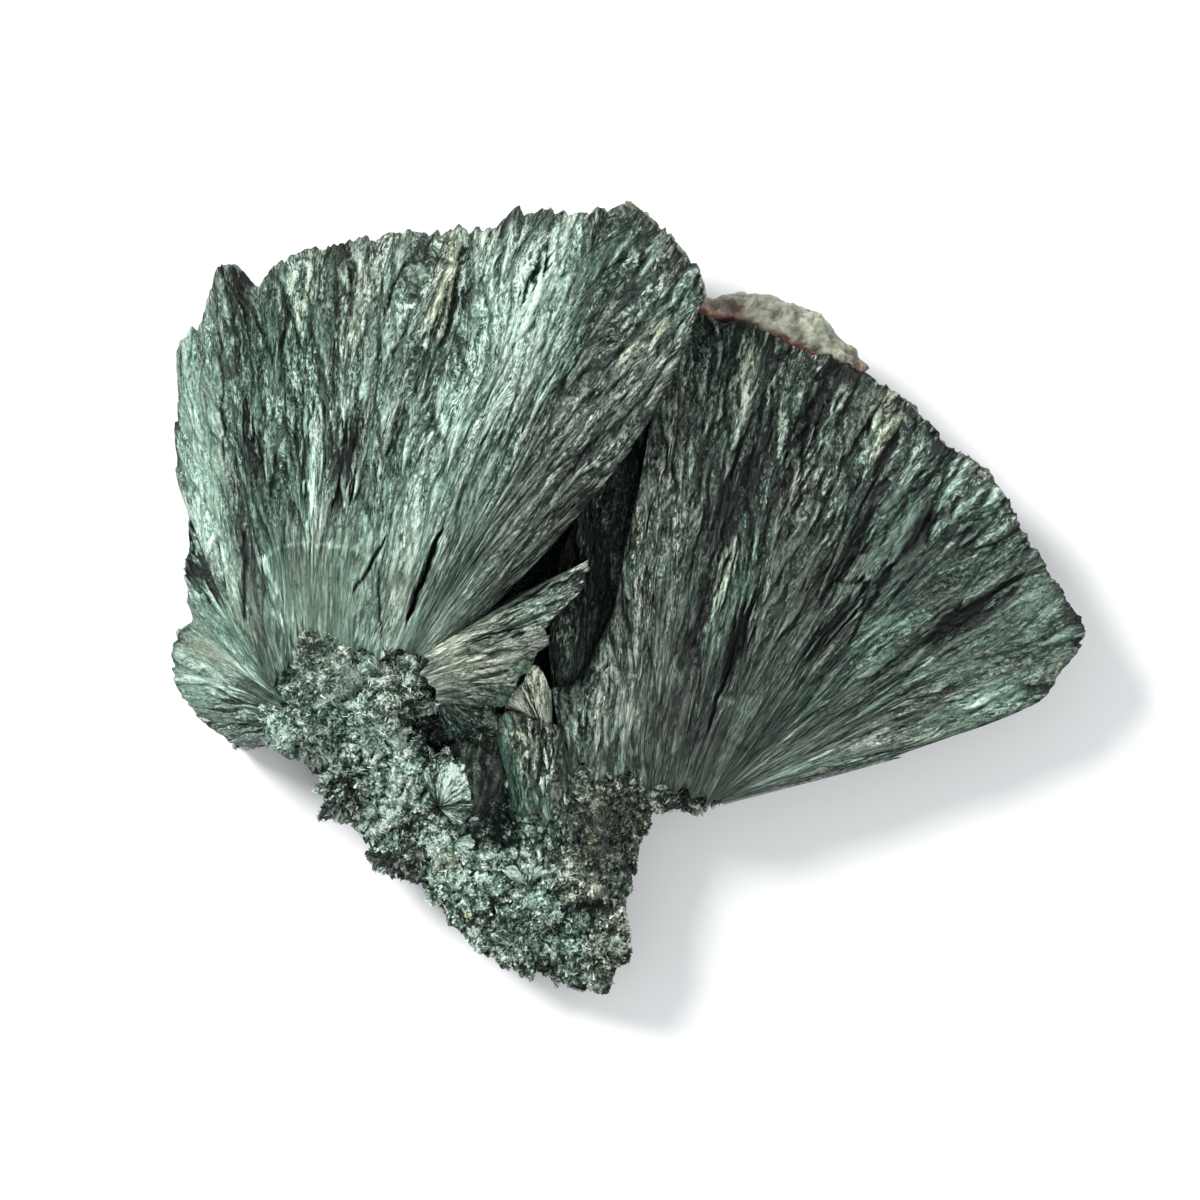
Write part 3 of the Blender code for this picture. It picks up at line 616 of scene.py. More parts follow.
def add_rings(look, lift, rings, grid, own, seed):
    """Draw the growth lines across the fibres, a little wavy and faded at both ends."""
    _, _, x, y = grid
    for (cx, cy), radius, first, last, paler in rings:
        turn = np.degrees(np.arctan2(y - cy, x - cx)) % 360
        wobble = 0.4 * soft_noise(turn / 9.0, 0.0, seed + 88) + 0.3 * (own - 0.5)
        band = np.exp(-((np.hypot(x - cx, y - cy) - radius + wobble) / 0.25) ** 2)
        weight = band * smooth_step((turn - first) / 8) * smooth_step((last - turn) / 8)
        look[..., 0] += paler * weight
        lift += 0.3 * abs(paler) * weight


def fan_columns(rays, columns, sides):
    """The fan's columns, with the end rays repeated for its side walls.

    Gives for each column its start, its end, its place along the rim and across the fibres,
    how far down the side it is (0 to 1), and which way the side faces (-1, 0 or 1).
    """
    start, end, rim, spread = spread_rays(rays, columns)
    left, right = sides
    pick = np.concatenate([np.zeros(left, int), np.arange(columns), np.full(right, columns - 1)])
    over = np.concatenate([np.arange(left, 0, -1) / left, np.zeros(columns),
                           np.arange(1, right + 1) / right]) * SIDE_DROP
    turned = np.concatenate([-np.ones(left), np.zeros(columns), np.ones(right)])
    run_on = turned * over * SIDE_RUN
    return start[pick], end[pick], rim[pick] + run_on, spread[pick] + run_on, over, turned


def calmed(x, y, calm):
    """How lively each place is: 1 on the rough parts, less inside the calm ones."""
    lively = np.ones_like(x)
    for cx, cy, half_x, half_y, how_much in calm:
        near = np.exp(-((x - cx) / half_x) ** 2 - ((y - cy) / half_y) ** 2)
        lively = lively * (1 - how_much * near)
    return lively


def painted_ridge_light_and_hollow_shade(height, step, rows):
    """Painted light and shade: how much paler each place is for its height, below 0 in
    hollows. Fine, then broad.
    """
    fine = height - blurred(height, max(2, int(0.7 / step)), max(1, int(0.7 * rows / 45.0)))
    broad = height - blurred(height, max(2, int(2.2 / step)), max(2, int(3.0 * rows / 45.0)))
    return np.clip(fine * 0.75, -0.4, 0.22), np.clip(broad * 0.18, -0.2, 0.12)


def rim_teeth(rim, own, narrow, over, columns, size, seed):
    """How far the fibres' broken ends stand out past the rim or stay behind it."""
    tooth = size * (0.45 * soft_noise(rim / 3.6, 0.0, seed + 59)
                    + 0.55 * soft_noise(rim / 1.7, 0.0, seed + 61)
                    + 0.35 * soft_noise(rim / 0.6, 0.0, seed + 62) + 0.7 * (own - 0.5))
    standing_out = LONGEST_TOOTH * np.tanh(tooth / LONGEST_TOOTH)
    tooth = np.where(tooth > 0, standing_out, tooth)
    on_top = np.cumsum(over == 0) - 1
    from_end = np.clip(np.minimum(on_top, columns - 1 - on_top), 0, None)
    return tooth * narrow * (0.2 + 0.8 * smooth_step(from_end / CALM_COLUMNS))


def rim_wall(rim, top, foot, reach, narrow, rows, pale, seed):
    """The wall under the rim, which leans in to its foot and is broken into chunks and chips.

    Gives for each row its share of the way down, how far out and how high it is, how pale.
    """
    down = (np.arange(1, rows + 1) / rows)[None, :] ** 1.1
    high = top + (foot[:, None] - top) * down
    lean = np.interp(down, [0, 0.15, 0.5, 0.8, 1.0], [0, 0.25, 0.1, -0.9, -2.9])
    along = rim[:, None] + 0 * high
    coarse, chunk = grains(along, high * 0.7, WALL_CHUNK, seed + 63)
    fine, chip = grains(along, high * 0.7, WALL_CHIP, seed + 67)
    rough = (1.1 * (coarse - 0.45) + 0.5 * (fine - 0.45)) * smooth_step(down / 0.12)
    out = reach[:, None] + (lean + rough) * narrow[:, None]
    # Each chunk and chip has its own tone, and the wall is paler where the small grains stand out:
    # a painted highlight.
    value = pale + 0.2 * (chunk - 0.5) + 0.2 * (chip - 0.5) + 0.25 * (fine - 0.45)
    return down, out, high, value


def underside(share, foot, root):
    """How high the underside is, from the fan's root out to the foot of its rim wall."""
    heights = np.stack([np.full_like(foot, root - 0.3), np.full_like(foot, root),
                        foot * 0.55 + root * 0.45, foot], axis=1)
    return np.stack([np.interp(np.clip(part, 0.0, 1.0), [0.0, 0.45, 0.72, 1.0], at)
                     for part, at in zip(share, heights)])


def fan_piece(name, material, rays, size, sides, foot, root, arch, seed, base, patches=(),
              cracks=(), rings=(), calm=(), pattern=fibre_pattern, relief=1.0, teeth=0.6,
              contrast=1.0, wall_tint=(0.3, 0.4, 0.05), swollen=1.0, along_fibres=True):
    """Loft one fan as a closed body: patterned top, broken rim wall, side walls, underside.

    size is (columns, top rows, wall rows, underside rows); sides the number of columns that
    carry the end rays down to the underside. foot and root are the heights of the underside
    at the rim and at the root, and arch is the rise halfway. base is how pale, mint and warm
    it is. calm lists smoother places: middle, half widths and how much. swollen is how far
    the last side wall swells out. along_fibres says how the patches are measured.
    """
    columns, rows, wall_rows, under_rows = size
    start, end, rim, spread, over, turned = fan_columns(rays, columns, sides)
    step = spread[over == 0][-1] / columns
    reach = np.hypot(*(end[:, :2] - start[:, :2]).T)
    narrow = np.clip(reach / 12.0, 0.3, 1.0)
    heading = (end[:, :2] - start[:, :2]) / reach[:, None]
    beside = np.stack([heading[:, 1], -heading[:, 0]], axis=1) * turned[:, None]

    # The top: every place on it, the splinters, and their own colours.
    share = np.linspace(0, 1, rows + 1)[None, :] ** 0.92
    u = spread[:, None] + 0 * share
    v = share * reach[:, None]
    x = start[:, 0, None] + heading[:, 0, None] * v
    y = start[:, 1, None] + heading[:, 1, None] * v
    height, (own1, own2, own3), fibre, place = pattern(u, v, x, y, share, seed)
    lively = calmed(x, y, calm)
    height = height * (0.4 + 0.6 * lively)
    own_mix = 0.2 * (own1 - 0.5) + 0.24 * (own2 - 0.5) + 0.32 * (own3 - 0.5)
    look = np.stack([
        base[0] + contrast * lively * own_mix,
        base[1] + 0.6 * (own1 * 7.3 % 1 - 0.5) + 0.4 * (own2 * 5.1 % 1 - 0.5),
        base[2] + 0.35 * smooth_step((own2 * 11.7 % 1 - 0.9) * 12) * (0.4 + 0.6 * own1)], axis=2)
    streaky = lively * (0.45 + 0.75 * (own2 * 17.3 % 1))

    # The patches, cracks and growth lines change its colour and lift or sink it.
    lift = np.zeros_like(u)
    grid = u, v, x, y
    add_patches(look, lift, patches, grid, place, along_fibres)
    add_cracks(look, lift, cracks, grid, own3, seed)
    add_rings(look, lift, rings, grid, own2, seed)
    height = relief * (height + lift)
    z = start[:, 2, None] * (1 - share) + end[:, 2, None] * share
    z = z + arch * 4 * share * (1 - share) + height

    # Painted light and shade: hollows are painted darker than ridges. The top is also darker,
    # in places, in a band along the rim.
    value, mint, warm = look[..., 0], look[..., 1], look[..., 2]
    for change in painted_ridge_light_and_hollow_shade(height, step, rows):
        value = value + lively * change
    broken = smooth_step((share - 0.955 - 0.02 * (own2 - 0.5)) / 0.03)
    rim_dark_in_places = smooth_step(0.5 + soft_noise(rim / 5.0, 3.0, seed + 64))[:, None]
    value = value - 0.22 * broken * rim_dark_in_places
    mint = mint - 0.3 * broken

    # The fibres' ends at the rim and at the root, the rim wall and the underside.
    tooth = rim_teeth(rim, own2[:, -1], narrow, over, columns, teeth, seed)
    frayed = 1.3 * soft_noise(start[:, 0] / 1.1, start[:, 1] / 1.1, seed + 65)
    out = v + tooth[:, None] * share ** 3 + frayed[:, None] * (1 - share) ** 12
    foot_here = foot + 1.3 * soft_noise(rim / 8.0, 0.0, seed + 60)
    foot_here = np.minimum(foot_here, end[:, 2] - 2.5)
    down, wall_out, wall_z, wall_value = rim_wall(rim, z[:, -1:], foot_here, reach + tooth,
                                                  narrow, wall_rows, wall_tint[0], seed)
    below = np.linspace(1, 0, under_rows + 1)[None, 1:] + 0 * rim[:, None]
    below_out = below * wall_out[:, -1:]
    uneven = 0.5 * soft_noise(rim[:, None] / 2.5, below_out / 2.5, seed + 71)
    below_z = underside(below, foot_here, root) + uneven * smooth_step((1 - below) / 0.1)

    # The sides: the end rays are carried down to the underside, and they swell out a little.
    across = np.concatenate([out, wall_out, below_out], axis=1)
    up = np.concatenate([z, wall_z, below_z], axis=1)
    bottom = underside(across / reach[:, None], foot_here, root)
    up = np.where(np.arange(up.shape[1])[None, :] <= rows + wall_rows,
                  bottom + (up - bottom) * (1 - over[:, None]), up)
    bulge = (over * (1 - over) * 2.6)[:, None] + over[:, None] * (
        0.5 * soft_noise(across / 2.2, up / 1.6, seed + 72)
        + 0.3 * soft_noise(across / 4.0, up / 0.6, seed + 73))
    bulge = bulge * (0.12 + 0.88 * smooth_step((reach[:, None] - across) / 9.0))
    bulge = bulge * np.where(turned > 0, swollen, 1.0)[:, None]
    px = start[:, 0, None] + heading[:, 0, None] * across + beside[:, 0, None] * bulge
    py = start[:, 1, None] + heading[:, 1, None] * across + beside[:, 1, None] * bulge
    points = np.stack([px, py, np.maximum(up, ABOVE_CARD)], axis=2).reshape(-1, 3)

    # The tint and the grain, row by row down each column; the top's colour fades into the wall.
    ring = up.shape[1]
    tint = np.empty((len(rim), ring, 4))
    tint[:] = (*wall_tint, 0.8)
    tint[:, :rows + 1] = np.stack([value, mint, warm, streaky], axis=2)
    faded = smooth_step((down - 0.02) / 0.1)
    tint[:, rows + 1:rows + 1 + wall_rows, 0] = value[:, -1:] * (1 - faded) + wall_value * faded
    # The side walls are painted 15 % darker: painted shade on the fan's sides.
    tint[:, :, 0] = tint[:, :, 0] * (1 - 0.15 * np.clip(over * 6, 0, 1)[:, None])
    grain = np.zeros((len(rim), ring, 3))
    grain[:, :rows + 1] = np.stack([fibre[0], fibre[1], share + 0 * u], axis=2)
    grain[:, rows + 1:, 0] = rim[:, None]
    grain[:, rows + 1:, 1] = np.concatenate([wall_z, below_out], axis=1)
    grain[:, rows + 1:, 2] = 1.0
    return stone_piece(name, points, loft_faces(len(rim), ring), tint.reshape(-1, 4),
                       grain.reshape(-1, 3), material)


def streak_pattern(tree):
    """Silky fibres: short streaks 0.15 to 0.6 mm wide along the grain, pale hairs between them,
    partly painted highlight, and dark crevices, which are painted shade. Near the root the
    streaks are longer and nothing is chipped."""
    grain = add_node(tree, "ShaderNodeAttribute", attribute_name="grain").outputs["Vector"]
    out = add_node(tree, "ShaderNodeSeparateXYZ", {0: grain}).outputs["Z"]
    near_rim = add_node(tree, "ShaderNodeMapRange", {
        "Value": out, "From Min": 0.15, "From Max": 0.5, "To Min": 0.0, "To Max": 1.0})
    outer = stone_mottle(tree, grain, (3.6, 1.0, 0.0), 4.0, 1.1)
    inner = stone_mottle(tree, grain, (1.4, 0.42, 0.0), 4.0, 0.8)
    streaks = add_node(tree, "ShaderNodeMix", {0: near_rim, 2: inner, 3: outer})
    streaks = add_node(tree, "ShaderNodeMath", {0: streaks, 1: 0.5}, operation="SUBTRACT")
    change = add_node(tree, "ShaderNodeMath", {0: streaks, 1: 1.6}, operation="MULTIPLY")
    chips = stone_mottle(tree, grain, (3.2, 2.0, 9.0), 2.0, 0.6)
    chips = add_node(tree, "ShaderNodeMath", {0: chips, 1: 0.5}, operation="SUBTRACT")
    for strength in (near_rim, 1.6):
        chips = add_node(tree, "ShaderNodeMath", {0: chips, 1: strength}, operation="MULTIPLY")
    change = add_node(tree, "ShaderNodeMath", {0: change, 1: chips}, operation="ADD")

    # The pale hairs, partly painted highlight, then the dark crevices, painted shade: a thin line
    # wherever the mottle passes its middle value.
    for per_mm, reach, at_line, beside in (((2.3, 0.33, 0.0), 0.035, 0.2, -0.02),
                                           ((1.2, 0.24, 4.0), 0.045, -0.34, 0.04)):
        off = stone_mottle(tree, grain, per_mm, 2.0, 1.3)
        off = add_node(tree, "ShaderNodeMath", {0: off, 1: 0.5}, operation="SUBTRACT")
        off = add_node(tree, "ShaderNodeMath", {0: off}, operation="ABSOLUTE")
        line = add_node(tree, "ShaderNodeMapRange", {
            "Value": off, "From Min": 0.0, "From Max": reach, "To Min": at_line,
            "To Max": beside})
        change = add_node(tree, "ShaderNodeMath", {0: change, 1: line}, operation="ADD")
    return change


# Clinochlore fibres split along their length: a silky sheen, broken up by the splinters.
silky_fibres = tinted_stone("silky_clinochlore_fibres", streak_pattern, roughness=0.42, bump=0.8)

# Its base tint is paler than the right fan's, partly its own colour and partly a painted sheen for
# fibres that face the lamp.
fan_piece(
    "left_fan", silky_fibres, LEFT_RAYS, size=(505, 116, 22, 12), sides=(18, 16), foot=6.0,
    root=-2.4, arch=0.4, seed=2, base=(0.54, 0.5, 0.0), patches=LEFT_PATCHES,
    cracks=LEFT_CRACKS, rings=LEFT_RINGS, relief=0.86, teeth=1.1, contrast=0.92,
    calm=[(-37.3, -1.0, 8.5, 9.0, 0.6), (-51.5, 15.0, 3.6, 18.0, 0.45)])

# ---------------------------------------------------------------- right fan
# The long low fan: the same silky fibres, darker and greyer, partly in their own colour and
# partly as painted shade where the fibres' sheen faces away from the lamp. The deep shadow
# between the splinters is partly real and partly painted shade. It grows from the root beside
# the left fan, and its lower edge is one long break along the fibres.
RIGHT_RAYS = [
    ((-7.5, -20.8, 14.6), (-9.4, -11.0, 14.4)),
    ((-5.7, -21.0, 15.5), (-6.0, -9.8, 15.0)),
    ((-4.2, -21.2, 15.8), (-3.8, -5.4, 15.3)),
    ((-2.8, -21.4, 16.0), (-1.6, -0.5, 16.0)),
    ((-1.3, -21.7, 16.0), (-0.4, 6.3, 16.0)),
    ((0.1, -22.0, 16.0), (1.6, 15.4, 16.0)),
    ((1.3, -22.2, 16.0), (3.7, 26.2, 15.5)),
    ((2.5, -22.5, 16.0), (7.4, 34.4, 15.0)),
    ((3.7, -22.7, 16.0), (11.9, 33.5, 15.5)),
    ((5.2, -23.0, 16.0), (15.8, 32.2, 15.5)),
    ((6.6, -23.2, 16.0), (21.4, 29.6, 15.5)),
    ((7.8, -23.6, 15.5), (26.4, 28.2, 15.0)),
    ((9.0, -23.8, 15.0), (31.1, 25.4, 14.5)),
    ((9.7, -23.9, 15.0), (34.5, 22.4, 14.0)),
    ((9.9, -24.1, 14.5), (39.0, 18.1, 13.5)),
    ((10.1, -24.2, 14.0), (45.3, 13.0, 12.5)),
    ((10.3, -24.4, 13.5), (48.6, 6.5, 12.0)),
    ((10.5, -24.4, 13.0), (52.2, 0.7, 11.5)),
    ((10.6, -24.5, 12.5), (55.2, -3.5, 11.0)),
    ((10.9, -24.6, 12.5), (52.8, -8.6, 10.5)),
    ((11.1, -24.7, 12.0), (48.7, -13.2, 10.0)),
    ((11.4, -24.9, 11.5), (32.9, -19.1, 9.5)),
    ((11.6, -25.1, 9.5), (33.0, -19.5, 8.0)),
]
# Patches as on the left fan, partly the stone's own tone and partly painted light and shade; the
# dark sunk bands are painted shade on the steps between the splinters.
RIGHT_PATCHES = [
    (13.9, 25.2, 1.1, 3.4, 0.42, -0.3, 0.6, 0.6),
    (21.2, 20.4, 1.6, 5.0, -0.46, 0.0, 0.0, -1.2),
    (24.6, 31.0, 4.5, 2.0, -0.08),
    (25.4, 24.0, 0.9, 4.0, 0.12, 0.3, 0.0, 0.2),
    (12.2, 10.3, 2.2, 5.5, -0.34, 0.0, 0.0, -0.9),
    (23.2, 21.0, 0.8, 5.5, 0.06, 0.5, 0.0, 0.3),
    (23.0, 28.5, 5.0, 3.0, -0.16, 0.0, 0.0, -0.1),
    (11.6, 22.5, 1.0, 4.0, 0.12, 0.0, 0.1),
    (31.5, 22.0, 2.0, 3.4, 0.22, -0.2, 0.6, 0.3),
    (38.9, 14.6, 1.6, 3.4, 0.2, 0.4, 0.0, 0.3),
    (35.6, 7.6, 1.0, 4.6, -0.4, 0.0, 0.0, -0.6),
    (28.4, 18.0, 1.0, 3.4, 0.26, 0.2, 0.0, 0.2),
    (31.6, 17.4, 0.9, 2.6, -0.2, 0.0, 0.2),
    (34.0, 19.6, 1.2, 2.0, -0.14),
    (24.6, 17.0, 2.2, 4.0, -0.06),
    (42.8, 11.0, 2.2, 4.0, 0.1, 0.4),
    (32.0, 7.5, 2.2, 6.5, 0.13, 0.55, 0.0, 0.1),
    (31.5, -3.4, 2.2, 3.4, 0.0, 0.4),
    (22.6, 10.6, 2.0, 3.6, -0.14, 0.0, 0.0, -0.1),
    (43.3, 4.5, 2.2, 5.0, 0.02, 0.5, 0.0, 0.1),
    (27.4, 6.6, 1.2, 4.4, -0.34, 0.0, 0.0, -0.8),
    (29.9, 14.0, 0.5, 5.0, -0.34, 0.0, 0.0, -0.5),
    (30.2, 1.8, 0.7, 2.0, -0.4, 0.0, 0.0, -0.6),
    (33.4, 1.8, 0.5, 2.4, -0.32, 0.0, 0.0, -0.4),
    (24.6, -3.6, 1.2, 4.8, -0.4, 0.0, 0.0, -0.9),
    (23.4, 3.6, 0.8, 2.0, -0.1, -0.3, 0.6, -0.2),
    (7.6, -12.4, 1.8, 5.0, -0.2, 0.0, 0.0, -0.3),
    (31.6, -8.4, 1.6, 5.0, 0.1, 0.1),
    (21.0, -17.0, 1.4, 6.0, 0.1),
    (18.5, 9.4, 2.6, 1.8, -0.1),
    (15.0, -0.5, 1.0, 4.0, -0.12),
    (-2.6, -5.5, 1.3, 5.0, 0.14),
    (4.6, 16.5, 1.5, 5.5, 0.12),
    (39.0, -10.8, 1.6, 3.0, -0.08),
    (9.4, -6.0, 1.3, 3.6, -0.12, 0.0, 0.0, -0.2),
    (12.2, 4.5, 0.7, 4.6, 0.26, 0.1, 0.4, 0.5),
    (13.0, -5.5, 0.8, 4.5, -0.42, 0.0, 0.0, -1.1),
    (16.8, 10.0, 1.6, 5.0, -0.12, 0.0, 0.0, -0.2),
    (30.3, -16.6, 2.2, 24.0, 0.14, -0.1, 0.0, 0.2),
    (33.0, -18.0, 1.6, 26.0, 0.12, 0.2),
    (45.5, -12.5, 2.4, 5.0, 0.16, 0.5),
    (29.1, -5.1, 1.2, 6.0, 0.02, 0.4, 0.0, 0.1),
    (32.0, -3.0, 1.4, 3.0, 0.06, 0.4),
    (19.4, 23.5, 1.5, 4.0, -0.24),
    (37.2, 11.8, 1.7, 2.6, -0.2),
    (34.5, 1.6, 1.1, 2.6, -0.2),
    (36.4, 6.0, 0.9, 3.0, -0.12),
    (25.4, -6.2, 1.6, 3.4, -0.18),
    (30.5, 11.5, 1.0, 1.8, -0.12),
    (42.6, 9.6, 1.6, 3.2, 0.14, 0.1),
    (7.4, 10.0, 1.6, 4.5, 0.1),
    (32.2, -8.0, 1.2, 2.4, 0.1),
    (41.5, -6.5, 1.6, 3.4, 0.09),
    (49.0, 3.2, 1.2, 2.0, 0.1),
    (49.5, -3.4, 1.2, 2.2, 0.1),
    (18.8, -8.2, 1.2, 3.0, 0.08),
    (12.0, -22.3, 1.2, 2.4, 0.12),
    (40.0, -16.0, 1.0, 4.0, 0.14),
    (16.5, -14.8, 2.0, 5.0, -0.06),
    (26.2, 16.5, 1.0, 2.8, 0.1),
    (1.5, -9.0, 4.5, 8.0, 0.08, -0.2, 0.05),
    (4.5, 12.0, 4.0, 14.0, 0.02, -0.3),
    (1.8, -16.0, 1.1, 3.6, 0.12),
    (-2.4, -5.5, 1.0, 4.0, 0.14),
    (3.0, -21.8, 2.4, 1.4, -0.16),
    (-7.0, -16.6, 0.9, 2.0, -0.12),
    (6.2, -14.4, 1.2, 3.6, -0.13),
    (-7.2, -11.5, 1.2, 3.0, 0.12),
    (8.6, 29.9, 1.8, 4.0, -0.14, 0.0, 0.0, -0.4),
    (8.6, -19.0, 4.0, 2.0, -0.12, 0.0, 0.1),
    (49.6, -0.3, 2.5, 5.0, 0.18, 0.4),
    (53.5, -4.0, 1.5, 3.0, 0.2, 0.4),
    (39.6, 6.0, 3.0, 4.0, -0.1),
    (41.3, -1.8, 1.1, 4.2, -0.42, 0.0, 0.0, -0.8),
    (34.5, -6.0, 0.4, 6.0, -0.26, 0.0, 0.0, -0.4),
    (15.8, 17.8, 1.0, 5.0, -0.3, 0.0, 0.0, -0.7),
    (15.8, 4.5, 1.6, 5.0, 0.06, 0.2),
    (8.4, -3.0, 0.9, 6.0, -0.2, 0.0, 0.0, -0.4),
]
RIGHT_CRACKS = [
    ((9.0, -17.0), (13.4, -4.0), 0.2, 0.7),
    ((22.0, 16.0), (19.6, 10.0), 0.2, 0.5),
    ((32.6, 5.0), (26.0, -6.0), 0.2, 0.45),
    ((34.0, 13.0), (30.0, 6.0), 0.2, 0.35),
]
RIGHT_RINGS = [((10.0, -24.1), 11.5, 60.0, 95.0, 0.16), ((10.0, -24.1), 7.4, 40.0, 120.0, -0.2)]

fan_piece(
    "right_fan", silky_fibres, RIGHT_RAYS, size=(490, 116, 22, 12), sides=(22, 26), foot=4.0,
    root=-3.1, arch=0.8, seed=311, base=(0.4, 0.28, 0.02), patches=RIGHT_PATCHES,
    cracks=RIGHT_CRACKS, rings=RIGHT_RINGS, relief=1.1, wall_tint=(0.42, 0.4, 0.05),
    swollen=0.25,
    calm=[(46.0, -4.0, 13.0, 12.0, 0.5), (32.0, 7.0, 4.5, 7.5, 0.55),
          (10.0, -22.0, 9.0, 6.0, 0.4), (22.0, -1.0, 14.0, 9.0, 0.3),
          (26.0, -15.0, 14.0, 6.0, 0.4)])

# ---------------------------------------------------------------- small fan
# A short fan of grey clinochlore that points at the cleft: stiff blades, grown together with
# the foot of the left fan and lying on top of it.
SMALL_RAYS = [
    ((-25.0, -6.9, 23.0), (-4.9, 4.5, 22.0)),
    ((-24.5, -7.9, 24.0), (-6.1, 0.7, 22.5)),
    ((-24.0, -8.9, 24.5), (-9.7, -2.9, 23.0)),
    ((-23.6, -9.8, 24.5), (-9.9, -5.3, 23.0)),
    ((-23.3, -10.8, 24.0), (-11.8, -7.5, 22.0)),
    ((-22.9, -11.8, 23.0), (-13.8, -11.1, 20.5)),
    ((-22.6, -12.6, 21.0), (-15.5, -13.0, 18.0)),
]
SMALL_PATCHES = [
    (-15.0, -7.5, 0.8, 3.0, 0.12, -0.2, 0.4, 0.2),
    (-9.0, 0.6, 1.5, 3.0, -0.14, 0.1),
    (-21.5, -5.2, 1.6, 2.4, -0.16, 0.0, 0.1),
    (-12.6, -3.4, 2.0, 3.4, 0.06),
    (-18.5, -10.3, 1.6, 2.4, 0.14),
    (-13.5, -6.2, 1.8, 1.6, -0.1),
    (-11.0, 1.0, 0.7, 5.0, -0.25, 0.0, 0.0, -0.3),
    (-18.0, -4.0, 0.5, 4.0, 0.2, 0.0, 0.1, 0.2),
    (-17.0, -9.5, 0.3, 3.0, -0.3, 0.0, 0.0, -0.4),
    (-17.0, -8.0, 1.8, 6.0, 0.14, 0.0, 0.1),
    (-13.5, -3.5, 0.35, 5.0, -0.35, 0.0, 0.0, -0.4),
]


def blade_pattern(u, v, x, y, share, seed):
    """Shorter and narrower splinters than the big fans' for the small stiff fans."""
    return fibre_pattern(u, v, x, y, share, seed, (2.2, 0.8, 0.4), (9.0, 3.0, 1.6))


fan_piece(
    "small_fan", silky_fibres, SMALL_RAYS, size=(220, 66, 16, 6), sides=(10, 10), foot=7.0,
    root=4.0, arch=0.3, seed=53, base=(0.54, 0.1, 0.12), patches=SMALL_PATCHES,
    pattern=blade_pattern, relief=0.85, contrast=0.8, calm=[(-16.0, -5.0, 10.0, 9.0, 0.35)])

# ---------------------------------------------------------------- cleft fibres
# Clinochlore fibres deep in the cleft, where the two big fans part, tinted nearly black:
# painted shade for the deep cleft. They stand on the core and run along the cleft's floor.
CLEFT_RAYS = [
    ((-8.0, -19.5, 12.0), (-9.8, -6.0, 12.6)),
    ((-7.8, -19.0, 12.4), (-9.4, -1.0, 12.6)),
    ((-7.5, -18.5, 12.6), (-8.0, 6.0, 12.6)),
    ((-7.0, -18.0, 12.6), (-5.0, 12.0, 12.6)),
    ((-6.4, -18.0, 12.6), (-1.5, 17.0, 12.6)),
    ((-5.8, -18.0, 12.6), (2.0, 22.0, 12.6)),
    ((-5.0, -18.0, 12.0), (4.0, 22.0, 12.2)),
]
# Paler and darker places in the cleft's painted shade.
CLEFT_PATCHES = [
    (-5.5, -6.0, 1.6, 5.0, 0.1, 0.2),
    (-7.6, -8.0, 1.6, 4.0, 0.22, 0.1),
    (-5.8, 6.0, 2.2, 6.0, -0.08, 0.0, 0.0, -0.5),
]
fan_piece(
    "cleft_fibres", silky_fibres, CLEFT_RAYS, size=(150, 56, 6, 4), sides=(4, 4), foot=8.0,
    root=8.0, arch=0.5, seed=173, base=(0.17, 0.3, 0.0), patches=CLEFT_PATCHES, contrast=0.5)

# ---------------------------------------------------------------- side lobe
# A pale mint lobe of the same silky fibres on the left flank, seen partly end-on. It's grown
# on the core below the left fan's foot.
LOBE_RAYS = [
    ((-42.4, -11.1, 19.0), (-53.3, 9.3, 12.0)),
    ((-41.8, -11.9, 20.0), (-53.7, 2.7, 12.5)),
    ((-41.4, -12.8, 20.0), (-53.1, -2.7, 14.5)),
    ((-41.1, -13.2, 20.0), (-54.7, -5.7, 14.0)),
    ((-40.9, -13.7, 19.5), (-55.1, -8.5, 13.0)),
    ((-40.7, -14.2, 19.0), (-54.1, -12.0, 12.5)),
    ((-40.5, -14.7, 18.0), (-51.9, -14.6, 12.0)),
    ((-40.3, -15.3, 17.0), (-48.6, -17.4, 11.0)),
    ((-39.9, -16.0, 16.0), (-45.7, -18.3, 10.5)),
]
# The darkest, sunk patch is painted shade in a hollow; the rest are partly the stone's own tone
# and partly painted light and shade.
LOBE_PATCHES = [
    (-50.8, 2.6, 2.2, 2.6, -0.5, 0.0, 0.0, -1.0),
    (-47.5, -3.5, 0.9, 4.0, 0.15, 0.0, 0.0, 0.3),
    (-50.5, -10.0, 1.2, 2.5, 0.16, 0.2, 0.0, 0.3),
    (-51.2, -6.6, 1.0, 2.6, 0.04, -0.4, 0.45),
    (-46.4, -9.0, 1.4, 1.2, 0.22, 0.1, 0.0, 0.2),
    (-52.5, -9.5, 2.0, 2.8, 0.16, 0.1),
    (-46.5, -5.6, 1.4, 1.6, -0.14),
    (-45.0, -17.0, 2.4, 1.4, -0.16),
    (-48.5, -8.0, 1.2, 3.0, 0.14),
    (-45.0, -13.5, 3.0, 3.0, -0.16, 0.0, 0.0, -0.2),
]

fan_piece(
    "side_lobe", silky_fibres, LOBE_RAYS, size=(250, 60, 22, 8), sides=(8, 8), foot=4.0,
    root=-1.1, arch=0.8, seed=71, base=(0.55, 0.75, 0.0), patches=LOBE_PATCHES, relief=0.7,
    contrast=0.8, wall_tint=(0.6, 0.75, 0.0), calm=[(-50.0, -6.0, 6.0, 8.0, 0.65)])

